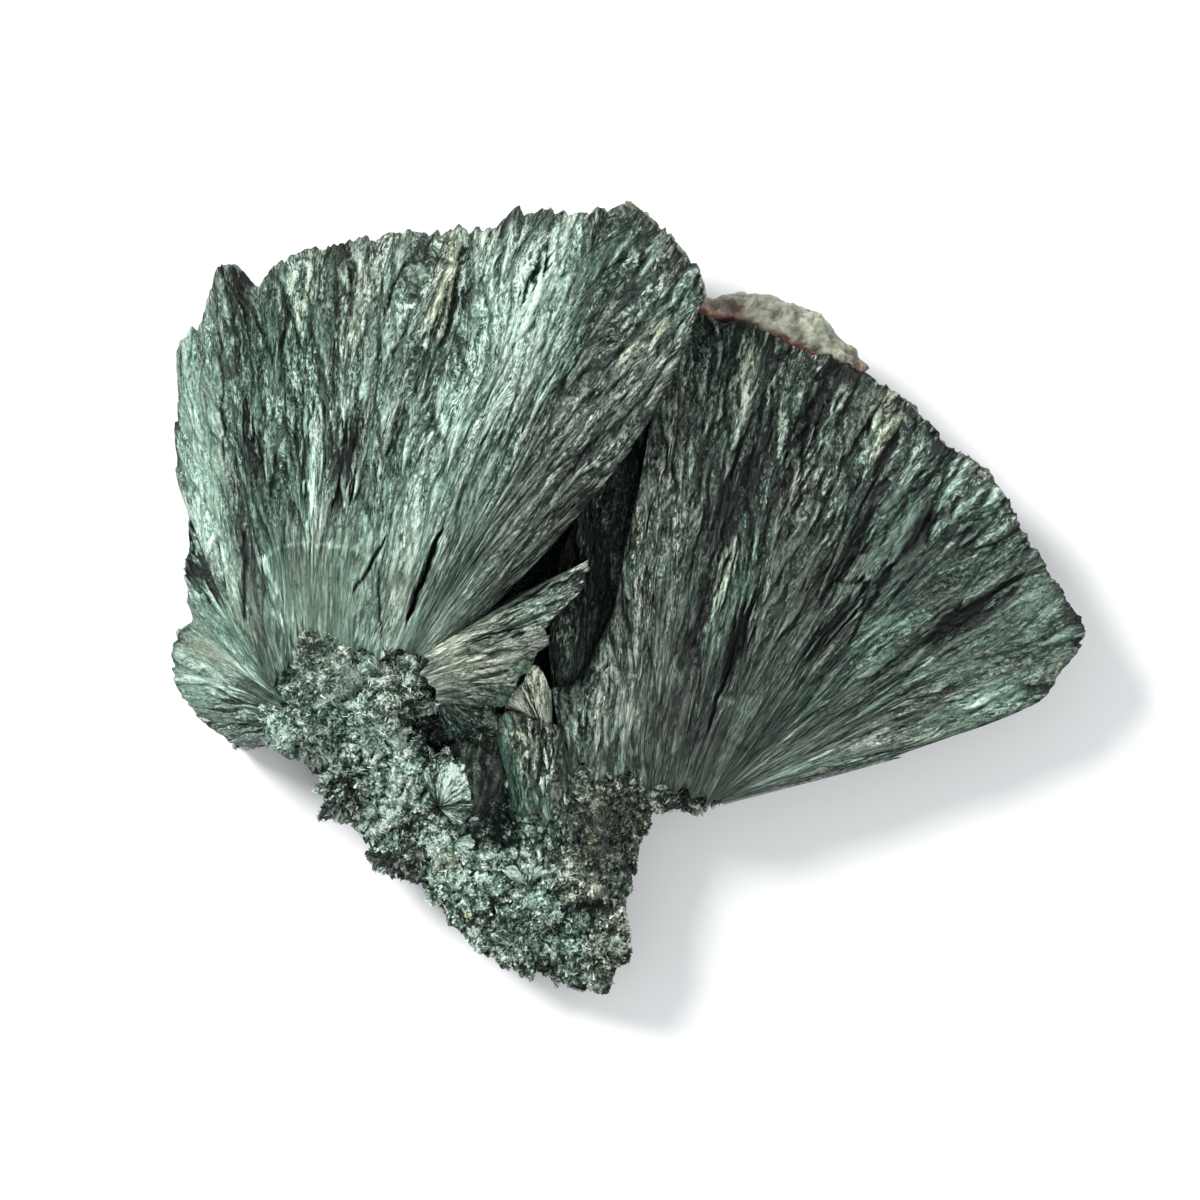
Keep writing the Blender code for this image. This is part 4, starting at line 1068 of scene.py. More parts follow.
# ---------------------------------------------------------------- root slope
# The broken foot of the specimen, where all the fans start: a steep slope of granular
# chlorite, mint on the left and brownish grey on the right, grown on the core. It's lofted
# like the fans, from the top of the slope down to its foot.
ROOT_RAYS = [
    ((-44.1, -11.1, 17.0), (-48.2, -18.2, 8.0)),
    ((-42.5, -12.3, 17.5), (-43.5, -18.5, 8.5)),
    ((-39.5, -12.6, 18.0), (-38.9, -20.4, 9.0)),
    ((-35.9, -12.5, 18.5), (-37.8, -22.8, 9.0)),
    ((-33.5, -12.9, 18.5), (-36.3, -25.8, 9.0)),
    ((-31.1, -13.5, 18.5), (-33.3, -27.3, 9.0)),
    ((-28.7, -14.7, 18.0), (-31.4, -30.0, 8.5)),
    ((-26.3, -16.2, 18.0), (-29.4, -31.6, 8.5)),
    ((-23.9, -17.7, 17.5), (-27.1, -34.0, 8.5)),
    ((-21.5, -19.2, 17.0), (-24.0, -37.2, 8.0)),
    ((-18.5, -20.5, 16.5), (-20.9, -40.5, 8.0)),
    ((-15.5, -21.4, 16.0), (-16.4, -44.3, 7.5)),
    ((-12.5, -21.7, 16.0), (-12.2, -45.9, 8.0)),
    ((-9.5, -21.8, 15.5), (-8.1, -46.8, 8.0)),
    ((-6.9, -21.4, 15.5), (-3.2, -47.6, 8.0)),
    ((-4.9, -20.8, 15.5), (-1.6, -45.6, 9.0)),
    ((-3.9, -20.3, 15.5), (0.2, -43.8, 9.5)),
    ((-3.3, -20.1, 15.5), (-0.4, -39.0, 10.0)),
    ((-2.7, -20.1, 15.5), (0.2, -35.4, 10.0)),
    ((-2.0, -20.1, 15.5), (1.0, -32.0, 10.0)),
    ((-1.3, -20.3, 15.0), (2.4, -27.4, 9.5)),
    ((-0.4, -20.8, 15.0), (3.8, -26.0, 9.5)),
    ((1.6, -21.4, 14.5), (7.4, -25.2, 9.5)),
    ((3.5, -22.0, 14.0), (10.8, -24.6, 9.0)),
]
# Patches on the slope: the darker, sunk ones are painted shade in its pits and gaps, the rest
# partly the stone's own tone and partly painted light and shade.
ROOT_PATCHES = [
    (-34.0, -22.5, 2.6, 2.6, -0.14, -0.3),
    (-26.8, -30.5, 1.6, 3.4, -0.32, -0.5, 0.0, -0.6),
    (-24.6, -26.6, 1.8, 1.8, -0.22, -0.4, 0.0, -0.3),
    (-15.8, -38.4, 2.6, 2.2, -0.24, -0.4, 0.0, -0.3),
    (-24.0, -14.6, 2.0, 2.0, -0.34, 0.2, 0.0, -0.5),
    (-15.5, -26.6, 1.8, 3.0, -0.5, 0.0, 0.0, -1.2),
    (-13.6, -28.6, 2.4, 1.8, -0.2, 0.4, 0.0, -0.4),
    (-4.0, -29.0, 5.0, 9.5, -0.15, -0.6, 0.2),
    (0.0, -27.0, 4.5, 5.5, -0.1, -0.6, 0.15),
    (0.6, -32.5, 0.9, 4.5, -0.16, 0.6),
    (-4.9, -35.2, 2.3, 1.2, -0.06, -0.2, 0.3, 0.4),
    (-2.0, -31.0, 4.0, 6.0, -0.06, -0.1),
    (-5.1, -37.4, 2.3, 0.8, -0.6, 0.0, 0.0, -1.6),
    (-4.6, -30.0, 0.5, 1.9, -0.05, 0.0, 0.7, -0.2),
    (-1.4, -40.8, 1.8, 3.8, -0.02, -0.4, 0.4),
    (-28.0, -24.0, 4.5, 6.0, 0.15, 0.2, 0.0, 0.3),
    (-30.5, -16.5, 2.6, 2.6, 0.2, 0.2),
    (-18.5, -31.5, 5.0, 4.0, 0.14, 0.2, 0.1, 0.3),
    (-22.0, -32.2, 1.2, 1.2, 0.05, -0.2, 0.6),
    (-19.3, -38.7, 0.8, 0.5, 0.2, -0.3, 1.0, 0.3),
    (-9.0, -42.0, 5.0, 1.4, 0.0, 0.2, 0.0, 0.2),
]
# Darker and paler places that cross from the slope to its lumps: painted shade in the hollows
# between the lumps, and paler places partly in the stone's own tone and partly painted light
# where shadow falls. Each: place, half widths, then how much paler, mintier and warmer.
ROOT_SPOTS = [
    (-37.5, -4.8, 2.6, 1.8, -0.14),
    (-35.0, -15.0, 1.5, 1.8, -0.3),
    (-33.8, -19.6, 1.6, 1.6, -0.22),
    (-25.8, -17.6, 1.3, 1.5, -0.28),
    (-28.0, -26.2, 1.8, 1.2, -0.22),
    (-29.3, -29.4, 2.0, 1.2, -0.25),
    (-18.3, -28.2, 1.9, 2.0, -0.45),
    (-14.8, -32.3, 1.4, 0.9, -0.28),
    (-22.6, -35.6, 1.6, 1.2, -0.16),
    (-15.5, -39.6, 1.3, 1.8, -0.28),
    (-10.6, -28.0, 2.0, 1.4, -0.16),
    (-5.6, -38.5, 1.4, 0.9, -0.16),
    (-7.0, -44.2, 2.4, 1.2, -0.16),
    (3.0, -24.0, 1.2, 2.0, -0.14),
    (-31.6, -9.0, 2.8, 1.3, 0.4),
    (-37.0, -6.8, 3.4, 1.5, -0.12),
    (-19.4, -29.0, 1.3, 1.5, -0.32),
    (-14.0, -33.7, 1.4, 0.8, -0.26),
    (-13.0, -42.2, 1.3, 1.0, -0.16),
    (-10.3, -45.5, 1.8, 0.8, -0.3),
    (-4.2, -41.0, 1.3, 1.2, -0.18),
    (-18.6, -36.9, 1.0, 1.1, 0.2),
    (-11.4, -34.5, 0.9, 0.8, 0.2),
    (-27.7, -18.0, 1.3, 1.3, 0.18),
    (-34.0, -11.6, 1.2, 1.4, 0.16),
    (-30.7, -16.0, 1.2, 2.6, 0.22),
    (-41.3, -14.0, 1.5, 1.0, 0.18),
    (-37.0, -20.4, 1.6, 1.0, 0.16),
    (-35.2, -25.4, 1.2, 1.0, 0.22),
    (-25.0, -22.6, 1.6, 1.8, 0.2, 0.2),
    (-11.5, -31.2, 1.5, 0.9, 0.14, 0.2),
    (-17.4, -34.8, 1.8, 2.2, 0.14),
    (-24.5, -31.5, 1.2, 1.2, 0.12),
    (-12.5, -44.0, 1.5, 0.9, 0.2),
    (-14.4, -26.6, 0.9, 1.2, 0.14, 0.2),
    (-7.4, -26.0, 1.4, 1.0, 0.1),
    (-4.8, -33.4, 1.2, 1.4, 0.1),
    (-0.8, -29.2, 1.2, 1.2, 0.12, 0.3),
    (-0.6, -41.8, 1.2, 2.4, 0.16, 0.2),
    (-18.6, -14.6, 3.0, 2.2, 0.12, 0.1),
]
# The slope's grain: bundles, the blades that they're made of, and crumbs.
BUNDLE_SIZE = 2.7
BLADE_WIDTH, BLADE_LENGTH = 0.5, 1.7
CRUMB_SIZE = 0.55


def grain_pattern(u, v, x, y, share, seed):
    """Bundles of short curved blades, 2 to 3 mm to a bundle, that lie every way.

    On the right flank they stand upright, and along the foot they lie level.
    """
    bent_x = x + 0.6 * soft_noise(x / 1.9, y / 1.9, seed)
    bent_y = y + 0.6 * soft_noise(x / 1.9, y / 1.9, seed + 1)
    bundle, own1 = grains(bent_x, bent_y, BUNDLE_SIZE, seed + 10)
    upright = smooth_step((x + 9.0) / 4.0)
    level = smooth_step((-39.0 - y) / 2.0) * smooth_step((x + 15.0) / 4.0)
    angle = own1 * 6.28 * (1 - upright) + (1.57 + (own1 - 0.5) * 1.2) * upright
    angle = angle * (1 - level) + (own1 - 0.5) * 0.6 * level
    along = bent_x * np.cos(angle) + bent_y * np.sin(angle)
    across = bent_y * np.cos(angle) - bent_x * np.sin(angle)
    across = across + 0.3 * soft_noise(along / 1.3, across / 1.3, seed + 14) + own1 * 57.0
    blade, own2, _, _ = feathers(across, along + own1 * 31.0, BLADE_WIDTH, BLADE_LENGTH,
                                 seed + 20, 0.5, 0.3)
    crumb, own3 = grains(x, y, CRUMB_SIZE, seed + 30)
    height = 1.5 * (bundle - 0.45) + 0.5 * (blade - USUAL_TOP) + 0.35 * (crumb - 0.45)
    return height, (own1, own2, own3 + 0.9 * own3 ** 6), (across, along), (x, y, np.ones_like(x))


root_slope = fan_piece(
    "root_slope", granular_chlorite, ROOT_RAYS, size=(420, 104, 24, 8), sides=(8, 8), foot=1.0,
    root=-1.6, arch=1.6, seed=90, base=(0.5, 0.6, 0.02), patches=ROOT_PATCHES + ROOT_SPOTS,
    pattern=grain_pattern, along_fibres=False, teeth=1.2, contrast=1.1,
    wall_tint=(0.3, 0.3, 0.03), calm=[(-3.8, -28.5, 4.4, 9.0, 0.45)])

# ---------------------------------------------------------------- root lumps
# Knobs and balls of granular chlorite that stand out of the root slope, where the fans' feet
# meet. They're half sunk in the slope and grown together with it.
# Each: middle, half widths, roundness, turn, how grainy, how striped, how pale, mint, warm.
LUMPS = [
    ((-40.5, -13.0, 12.0), (5.5, 5.5, 8.6), 1.0, 0, 1.0, 0.2, 0.6, 0.7, 0.0),
    ((-36.4, -8.2, 17.8), (5.2, 5.0, 5.6), 1.0, 0, 0.7, 0.2, 0.64, 0.4, 0.06),
    ((-32.2, -7.2, 18.2), (3.0, 2.8, 4.8), 1.0, 0, 0.8, 0.2, 0.42, 0.5, 0.0),
    ((-28.7, -6.2, 19.6), (1.9, 1.7, 3.6), 1.0, 0, 0.7, 0.0, 0.3, 0.3, 0.0),
    ((-26.6, -8.6, 18.8), (2.6, 2.6, 4.4), 1.0, 0, 0.9, 0.0, 0.48, 0.4, 0.05),
    ((-27.9, -11.6, 17.8), (4.5, 4.9, 5.6), 1.0, 0, 1.0, 0.0, 0.56, 0.4, 0.08),
    ((-32.0, -13.5, 15.5), (4.6, 4.6, 5.4), 1.0, 0, 1.1, 0.2, 0.68, 0.7, 0.0),
    ((-34.0, -22.4, 9.5), (4.0, 4.8, 5.6), 1.0, 0, 1.6, 0.0, 0.52, 0.15, 0.0),
    ((-27.8, -31.4, 7.5), (3.2, 3.2, 4.2), 1.0, 0, 1.1, 0.0, 0.28, 0.0, 0.0),
    ((-20.5, -13.6, 11.6), (6.5, 5.6, 6.2), 1.0, 0, 0.9, 0.0, 0.26, 0.5, 0.0),
    ((-12.6, -38.8, 9.0), (4.4, 3.6, 3.6), 1.0, 0, 1.0, 0.0, 0.48, 0.6, 0.0),
    ((-3.4, -43.0, 8.6), (3.2, 3.6, 3.6), 1.0, 0, 1.0, 0.2, 0.42, 0.2, 0.3),
    ((5.4, -23.8, 9.0), (5.0, 2.4, 4.6), 1.0, 0, 1.0, 0.0, 0.34, 0.1, 0.25),
    ((-5.8, -21.0, 13.6), (1.7, 1.3, 2.4), 1.0, 0, 0.7, 0.0, 0.4, 0.2, 0.1),
    ((11.3, -24.0, 5.4), (2.7, 1.5, 5.2), 0.9, 15, 0.9, 0.0, 0.3, 0.4, 0.0),
]
# Spots: place, half widths, then how much paler, mintier and warmer.
LUMP_SPOTS = [
    (-10.9, -15.6, 1.3, 1.2, -0.2, 0.0, 0.4),
    (-15.9, -15.3, 1.2, 1.4, 0.25, -0.3),
    (-11.5, -24.4, 3.5, 1.2, -0.1, 0.4, -0.2),
    (-38.4, -5.5, 2.5, 2.0, -0.15, 0.0, 0.2),
    (-34.0, -13.0, 2.0, 2.0, 0.14, 0.4),
    (-25.6, -14.0, 2.2, 2.8, -0.28),
    (-21.5, -16.0, 3.0, 1.4, 0.1, 0.1),
]
# Sizes of the knobs on a lump and their usual height, of the stripes, and how low it may go.
LARGE_KNOB, SMALL_KNOB = 2.6, 0.6
USUAL_KNOB = 0.35
STRIPE_WIDTH, STRIPE_LENGTH = 0.4, 1.8
LOWEST_LUMP = 0.2


def ball(detail):
    """Points and faces of a unit ball."""
    builder = bmesh.new()
    bmesh.ops.create_icosphere(builder, subdivisions=detail, radius=1.0)
    points = np.array([vert.co[:] for vert in builder.verts])
    faces = np.array([[vert.index for vert in face.verts] for face in builder.faces])
    builder.free()
    return points / np.linalg.norm(points, axis=1)[:, None], faces


def knobs(points, size, seed):
    """Rounded knobs with creases between them, from 0 in a crease to 1 on a knob."""
    x, y, z = (points / size).T
    return np.abs(soft_noise(x, y, seed, z))


def lump(index, middle, half, roundness, turn, grainy, striped, pale, mint, warm):
    """A knobbly or striped lump: points, faces and tint. The bigger it is, the finer its mesh."""
    way, faces = ball(6 if max(half) > 5.2 else 5 if max(half) > 1.7 else 4)
    shape = np.sign(way) * np.abs(way) ** roundness * np.array(half)
    angle = math.radians(turn)
    spin = np.array([[math.cos(angle), -math.sin(angle), 0],
                     [math.sin(angle), math.cos(angle), 0], [0, 0, 1]])
    points = shape @ spin.T + np.array(middle)
    x, y = points[:, 0], points[:, 1]
    relief, (own1, own2, own3), _, _ = grain_pattern(x, y, x, y, 1.0, index + 140)
    large, small = knobs(points, LARGE_KNOB, index), knobs(points, SMALL_KNOB, index + 60)
    around = np.arctan2(shape[:, 2], shape[:, 0]) * 0.5 * (half[0] + half[2])
    around = around + 0.5 * soft_noise(around / 2.5, shape[:, 1] / 2.5, index + 90)
    stripe, own4, _, _ = feathers(around, shape[:, 1], STRIPE_WIDTH, STRIPE_LENGTH, index + 70,
                                  1.1, 0.2)
    large, small = large - USUAL_KNOB, small - USUAL_KNOB
    swell = grainy * (0.8 * relief + 1.6 * large + 0.5 * small)
    swell = swell + striped * (0.16 * (stripe - USUAL_TOP) + 0.9 * large) + 0.2 * small
    points = points + way * swell[:, None]
    points[:, 2] = np.maximum(points[:, 2], LOWEST_LUMP)
    # Paler where grains, stripes and small knobs stand out and darker in the creases between them:
    # painted light and shade, besides each grain's own tone.
    own_mix = 0.3 * (own2 - 0.5) + 0.3 * (own3 - 0.5) + 0.25 * np.clip(relief, -1.5, 1)
    value = pale + grainy * own_mix
    value = value + striped * (0.3 * (own4 - 0.5) + 0.4 * np.clip(stripe - 0.85, -0.5, 0.3))
    value = value + 0.3 * (grainy + 0.2) * small
    mint = mint + 0.5 * (own1 - 0.5) * grainy
    streaky = 0.35 + 0.55 * min(grainy, 1.0) + 0 * value
    tint = np.stack([value, mint, warm + 0 * value, streaky], axis=1)
    for spot in LUMP_SPOTS + ROOT_SPOTS:
        spot_x, spot_y, half_x, half_y, paler, mintier, warmer = filled(spot, 7)
        far = ((points[:, 0] - spot_x) / half_x) ** 2 + ((points[:, 1] - spot_y) / half_y) ** 2
        weight = np.exp(-far ** 1.5)
        tint[:, :3] += weight[:, None] * np.array([paler, mintier, warmer])
    return points, faces, tint


def joined(bodies):
    """Several bodies in one row: their points, their faces, then whatever else they have."""
    faces, first = [], 0
    for points, corners, *_ in bodies:
        faces += (np.array(corners) + first).tolist()
        first += len(points)
    points, _, *rest = zip(*bodies)
    return np.concatenate(points), faces, *[np.concatenate(rows) for rows in rest]


points, faces, tint = joined([lump(number, *values) for number, values in enumerate(LUMPS)])
root_lumps = stone_piece("root_lumps", points, faces, tint, points, granular_chlorite)

# ---------------------------------------------------------------- cleavage blocks
# Bodies of chlorite that broke along smooth, finely lined planes: a dark pill, a plate and a
# scale beside the small fan, and a mint flake lower down. They're made like the lumps and sunk
# in the slope like them.
BLOCKS = [
    ((-18.9, -21.6, 11.4), (3.7, 6.6, 6.8), 0.9, -6, 0.12, 1.6, 0.14, 0.2, 0.1),
    ((-16.1, -12.0, 19.4), (1.7, 0.9, 1.3), 0.7, -8, 0.02, 0.3, 0.42, 0.5, 0.0),
    ((-11.3, -36.6, 11.6), (1.5, 1.2, 1.0), 0.8, 20, 0.1, 0.1, 0.6, 0.9, 0.0),
    ((-13.4, -8.0, 21.6), (1.6, 1.1, 0.9), 0.7, -8, 0.03, 0.5, 0.46, 0.5, 0.1),
]
points, faces, tint = joined([lump(number, *values)
                              for number, values in enumerate(BLOCKS, start=20)])
stone_piece("cleavage_blocks", points, faces, tint, points, granular_chlorite)

# ---------------------------------------------------------------- rosettes
# Small rosettes of bright clinochlore blades that radiate from a point, each grown half sunk
# in the root slope.
# Each: middle, radius, the way it faces, first and last angle of its blades, how pale, mint.
ROSETTES = [
    ((-22.9, -25.2, 18.2), 3.9, (-0.1, 0.0, 1.0), -52, 124, 0.45, 0.75),
    ((-12.2, -34.6, 12.8), 3.1, (0.0, 0.2, 1.0), 15, 170, 0.74, 0.9),
    ((-7.6, -22.6, 15.4), 3.9, (-0.35, 0.1, 1.0), 130, 290, 0.42, 0.3),
    ((-30.0, -16.2, 17.6), 3.3, (0.1, -0.1, 1.0), -75, 25, 0.8, 0.7),
    ((-21.4, -29.6, 14.3), 2.4, (0.1, 0.1, 1.0), -60, 40, 0.58, 0.8),
    ((-9.6, -28.9, 13.6), 3.0, (0.0, 0.3, 1.0), 20, 160, 0.34, 0.6),
]
# Columns round it, rows of its top, of its side and of its stub; a blade's width and length.
ROSETTE_MESH = (160, 22, 6, 4)
ROSETTE_BLADE = (0.72, 2.6)


def rosette(index, middle, radius, facing, first, last, pale, mint):
    """Points, faces, tint and grain of one low dome of blades, closed by a stub underneath."""
    columns, rows, side, under = ROSETTE_MESH
    angle = np.arange(columns)[:, None] * 2 * math.pi / columns
    share = np.linspace(0.03, 1, rows)[None, :]
    turn = np.degrees(angle)
    from_middle = np.abs((turn - (first + last) / 2 + 180) % 360 - 180)
    shown = smooth_step(((last - first) / 2 - from_middle) / 14)
    blades, own, _, _ = feathers(angle * radius + 0.25 * soft_noise(angle * 3, share * 3, index),
                                 share * radius * 0.45, *ROSETTE_BLADE, index * 9 + 500,
                                 0.2, 0.25)
    stretch = 1 + 0.38 * np.sin(angle + 0.25)
    edge = radius * stretch * (1 + 0.1 * soft_noise(angle * 5, 0.0, index)
                               + 0.26 * (own[:, -1:] - 0.5)) * (0.45 + 0.55 * shown)
    out = share * edge
    hub = np.exp(-(share / 0.2) ** 2)
    up = radius * 0.3 * (1 - ((share - 0.72) / 0.8) ** 2) - 0.5 * hub - 2.2 * (1 - shown)
    up = up + 0.38 * (blades - 0.75) * np.clip(share * 2, 0.15, 1)
    fall = np.linspace(0, 1, side + 1)[None, 1:]
    plain_edge = 0.88 * radius * stretch * (0.45 + 0.55 * shown)
    side_out = edge * (1 - fall ** 0.3) + plain_edge * fall ** 0.3 * (1 - 0.25 * fall)
    side_up = up[:, -1:] - fall * radius * 0.9
    under_out = side_out[:, -1:] * np.linspace(0.8, 0.05, under)[None, :]
    under_up = side_up[:, -1:] + 0 * under_out
    # Raised blades are paler (painted light), the side towards +y, nearer the lamp, is paler (a
    # painted highlight), and the dome is darker where it sinks into the slope (painted shade).
    # It's darker at its sunken hub too.
    value = pale + 0.6 * (own - 0.5) + 1.0 * np.clip(blades - 0.8, -0.6, 0.3) - 0.6 * hub
    value = value - 0.3 * (1 - shown) + 0.16 * np.cos(angle - 1.6)
    below = np.linspace(0.6, 1, side + under)[None, :]
    value = np.hstack([value, value[:, -1:] * (1 - below) + 0.2 * below])
    out, up = np.hstack([out, side_out, under_out]), np.hstack([up, side_up, under_up])
    local = np.stack([out * np.cos(angle), out * np.sin(angle), up], axis=2).reshape(-1, 3)
    spin = Vector((0, 0, 1)).rotation_difference(Vector(facing).normalized()).to_matrix()
    points = local @ np.array(spin).T + np.array(middle)
    tint = np.stack([value, mint + 0 * value, 0.05 + 0 * value, 1 + 0 * value], axis=2)
    grain = np.stack([angle * radius + 0 * out, out, np.ones_like(out)], axis=2).reshape(-1, 3)
    faces = loft_faces(columns, out.shape[1], closed=True)
    return points, faces, tint.reshape(-1, 4), grain


points, faces, tint, grain = joined([rosette(number, *values)
                                     for number, values in enumerate(ROSETTES)])
stone_piece("rosettes", points, faces, tint, grain, silky_fibres)

# ---------------------------------------------------------------- dark spray
# A little spray of dark green clinochlore blades with a pinkish grey tip, painted as a
# highlight on the glassy blades, grown out of the slope just below the small fan.
SPRAY_RAYS = [
    ((-23.6, -11.4, 18.5), (-22.0, -17.4, 15.5)),
    ((-23.4, -11.2, 19.0), (-19.9, -16.4, 16.5)),
    ((-23.2, -11.0, 19.5), (-18.2, -14.6, 17.5)),
    ((-23.0, -10.8, 19.5), (-17.2, -12.6, 18.0)),
]
SPRAY_PATCHES = [
    (-18.6, -14.0, 0.9, 1.6, 0.25, -0.6, 0.4, 0.2),
    (-22.0, -15.0, 0.8, 2.5, 0.12, 0.4, 0.0, 0.1),
]
fan_piece(
    "blade_spray", silky_fibres, SPRAY_RAYS, size=(80, 30, 8, 4), sides=(4, 4), foot=12.0,
    root=14.0, arch=0.3, seed=231, base=(0.34, 0.6, 0.0), patches=SPRAY_PATCHES,
    pattern=blade_pattern, relief=0.5)

# ---------------------------------------------------------------- slab
# A thick plate of upright clinochlore blades, brownish with a glassy green left side. It
# stands in the slope between the dark pill and the cleft.
SLAB_RAYS = [
    ((-14.2, -25.2, 14.0), (-16.2, -15.6, 15.0)),
    ((-14.0, -25.6, 15.4), (-15.6, -14.0, 17.8)),
    ((-13.2, -26.0, 16.2), (-14.4, -13.4, 18.8)),
    ((-12.0, -26.4, 16.6), (-12.6, -13.8, 19.0)),
    ((-10.4, -26.4, 16.6), (-10.8, -14.2, 19.0)),
    ((-8.8, -26.0, 16.2), (-9.4, -14.6, 18.4)),
    ((-7.4, -25.6, 15.0), (-8.2, -15.6, 16.6)),
]
SLAB_PATCHES = [
    (-15.0, -17.5, 0.9, 6.5, 0.0, 0.8, -0.2),
    (-14.6, -21.5, 0.9, 5.0, -0.04, 0.8, -0.2),
    (-11.2, -15.4, 1.3, 1.4, -0.2, 0.0, 0.3, -0.2),
    (-12.4, -19.5, 1.4, 2.0, 0.06, 0.0, 0.1, 0.2),
    (-10.8, -22.5, 1.6, 1.6, -0.14, 0.4, -0.1, -0.2),
    (-9.2, -19.0, 0.4, 4.0, 0.14, 0.1, 0.0, 0.2),
    (-12.9, -14.2, 1.8, 0.9, 0.3, 0.0, 0.3),
    (-15.5, -15.0, 0.7, 1.8, 0.22, 0.3),
    (-12.9, -18.2, 1.1, 2.0, -0.16),
]
fan_piece(
    "slab", silky_fibres, SLAB_RAYS, size=(130, 60, 8, 4), sides=(6, 6), foot=12.0, root=12.0,
    arch=0.8, seed=263, base=(0.44, 0.1, 0.25), patches=SLAB_PATCHES, pattern=blade_pattern,
    relief=0.8, contrast=0.6, calm=[(-15.0, -19.0, 1.4, 7.0, 0.7)])

# ---------------------------------------------------------------- beige spray
# A stiff little spray of pale beige blades of the fans' own mineral. It's grown on the top
# edge of the slab and points at the small fan's tip.
BEIGE_RAYS = [
    ((-11.4, -14.9, 16.5), (-14.9, -13.2, 17.5)),
    ((-11.2, -14.9, 17.5), (-14.0, -11.4, 19.6)),
    ((-10.8, -14.9, 18.2), (-12.7, -10.2, 20.8)),
    ((-10.5, -14.9, 18.6), (-12.1, -8.4, 21.6)),
    ((-10.1, -14.9, 18.4), (-10.8, -8.2, 21.6)),
    ((-9.5, -14.9, 17.5), (-9.4, -11.2, 19.6)),
]
BEIGE_PATCHES = [
    (-12.6, -10.6, 0.25, 2.5, -0.4, 0.0, 0.0, -0.6),
    (-10.9, -9.6, 0.9, 1.8, 0.12, 0.0, 0.1, 0.2),
    (-12.0, -12.4, 0.2, 1.6, -0.3, 0.0, 0.0, -0.3),
]
fan_piece(
    "beige_spray", silky_fibres, BEIGE_RAYS, size=(90, 34, 10, 4), sides=(5, 5), foot=14.0,
    root=13.0, arch=0.4, seed=247, base=(0.84, 0.1, 0.45), patches=BEIGE_PATCHES,
    pattern=blade_pattern, relief=0.7)

# ---------------------------------------------------------------- flakes
# Little blades of chlorite, 0.4 to 1.15 mm long, grown on the granular root slope and its
# lumps with their feet sunk in, every way up. Each is a little paler or darker than the grain
# it sits on.


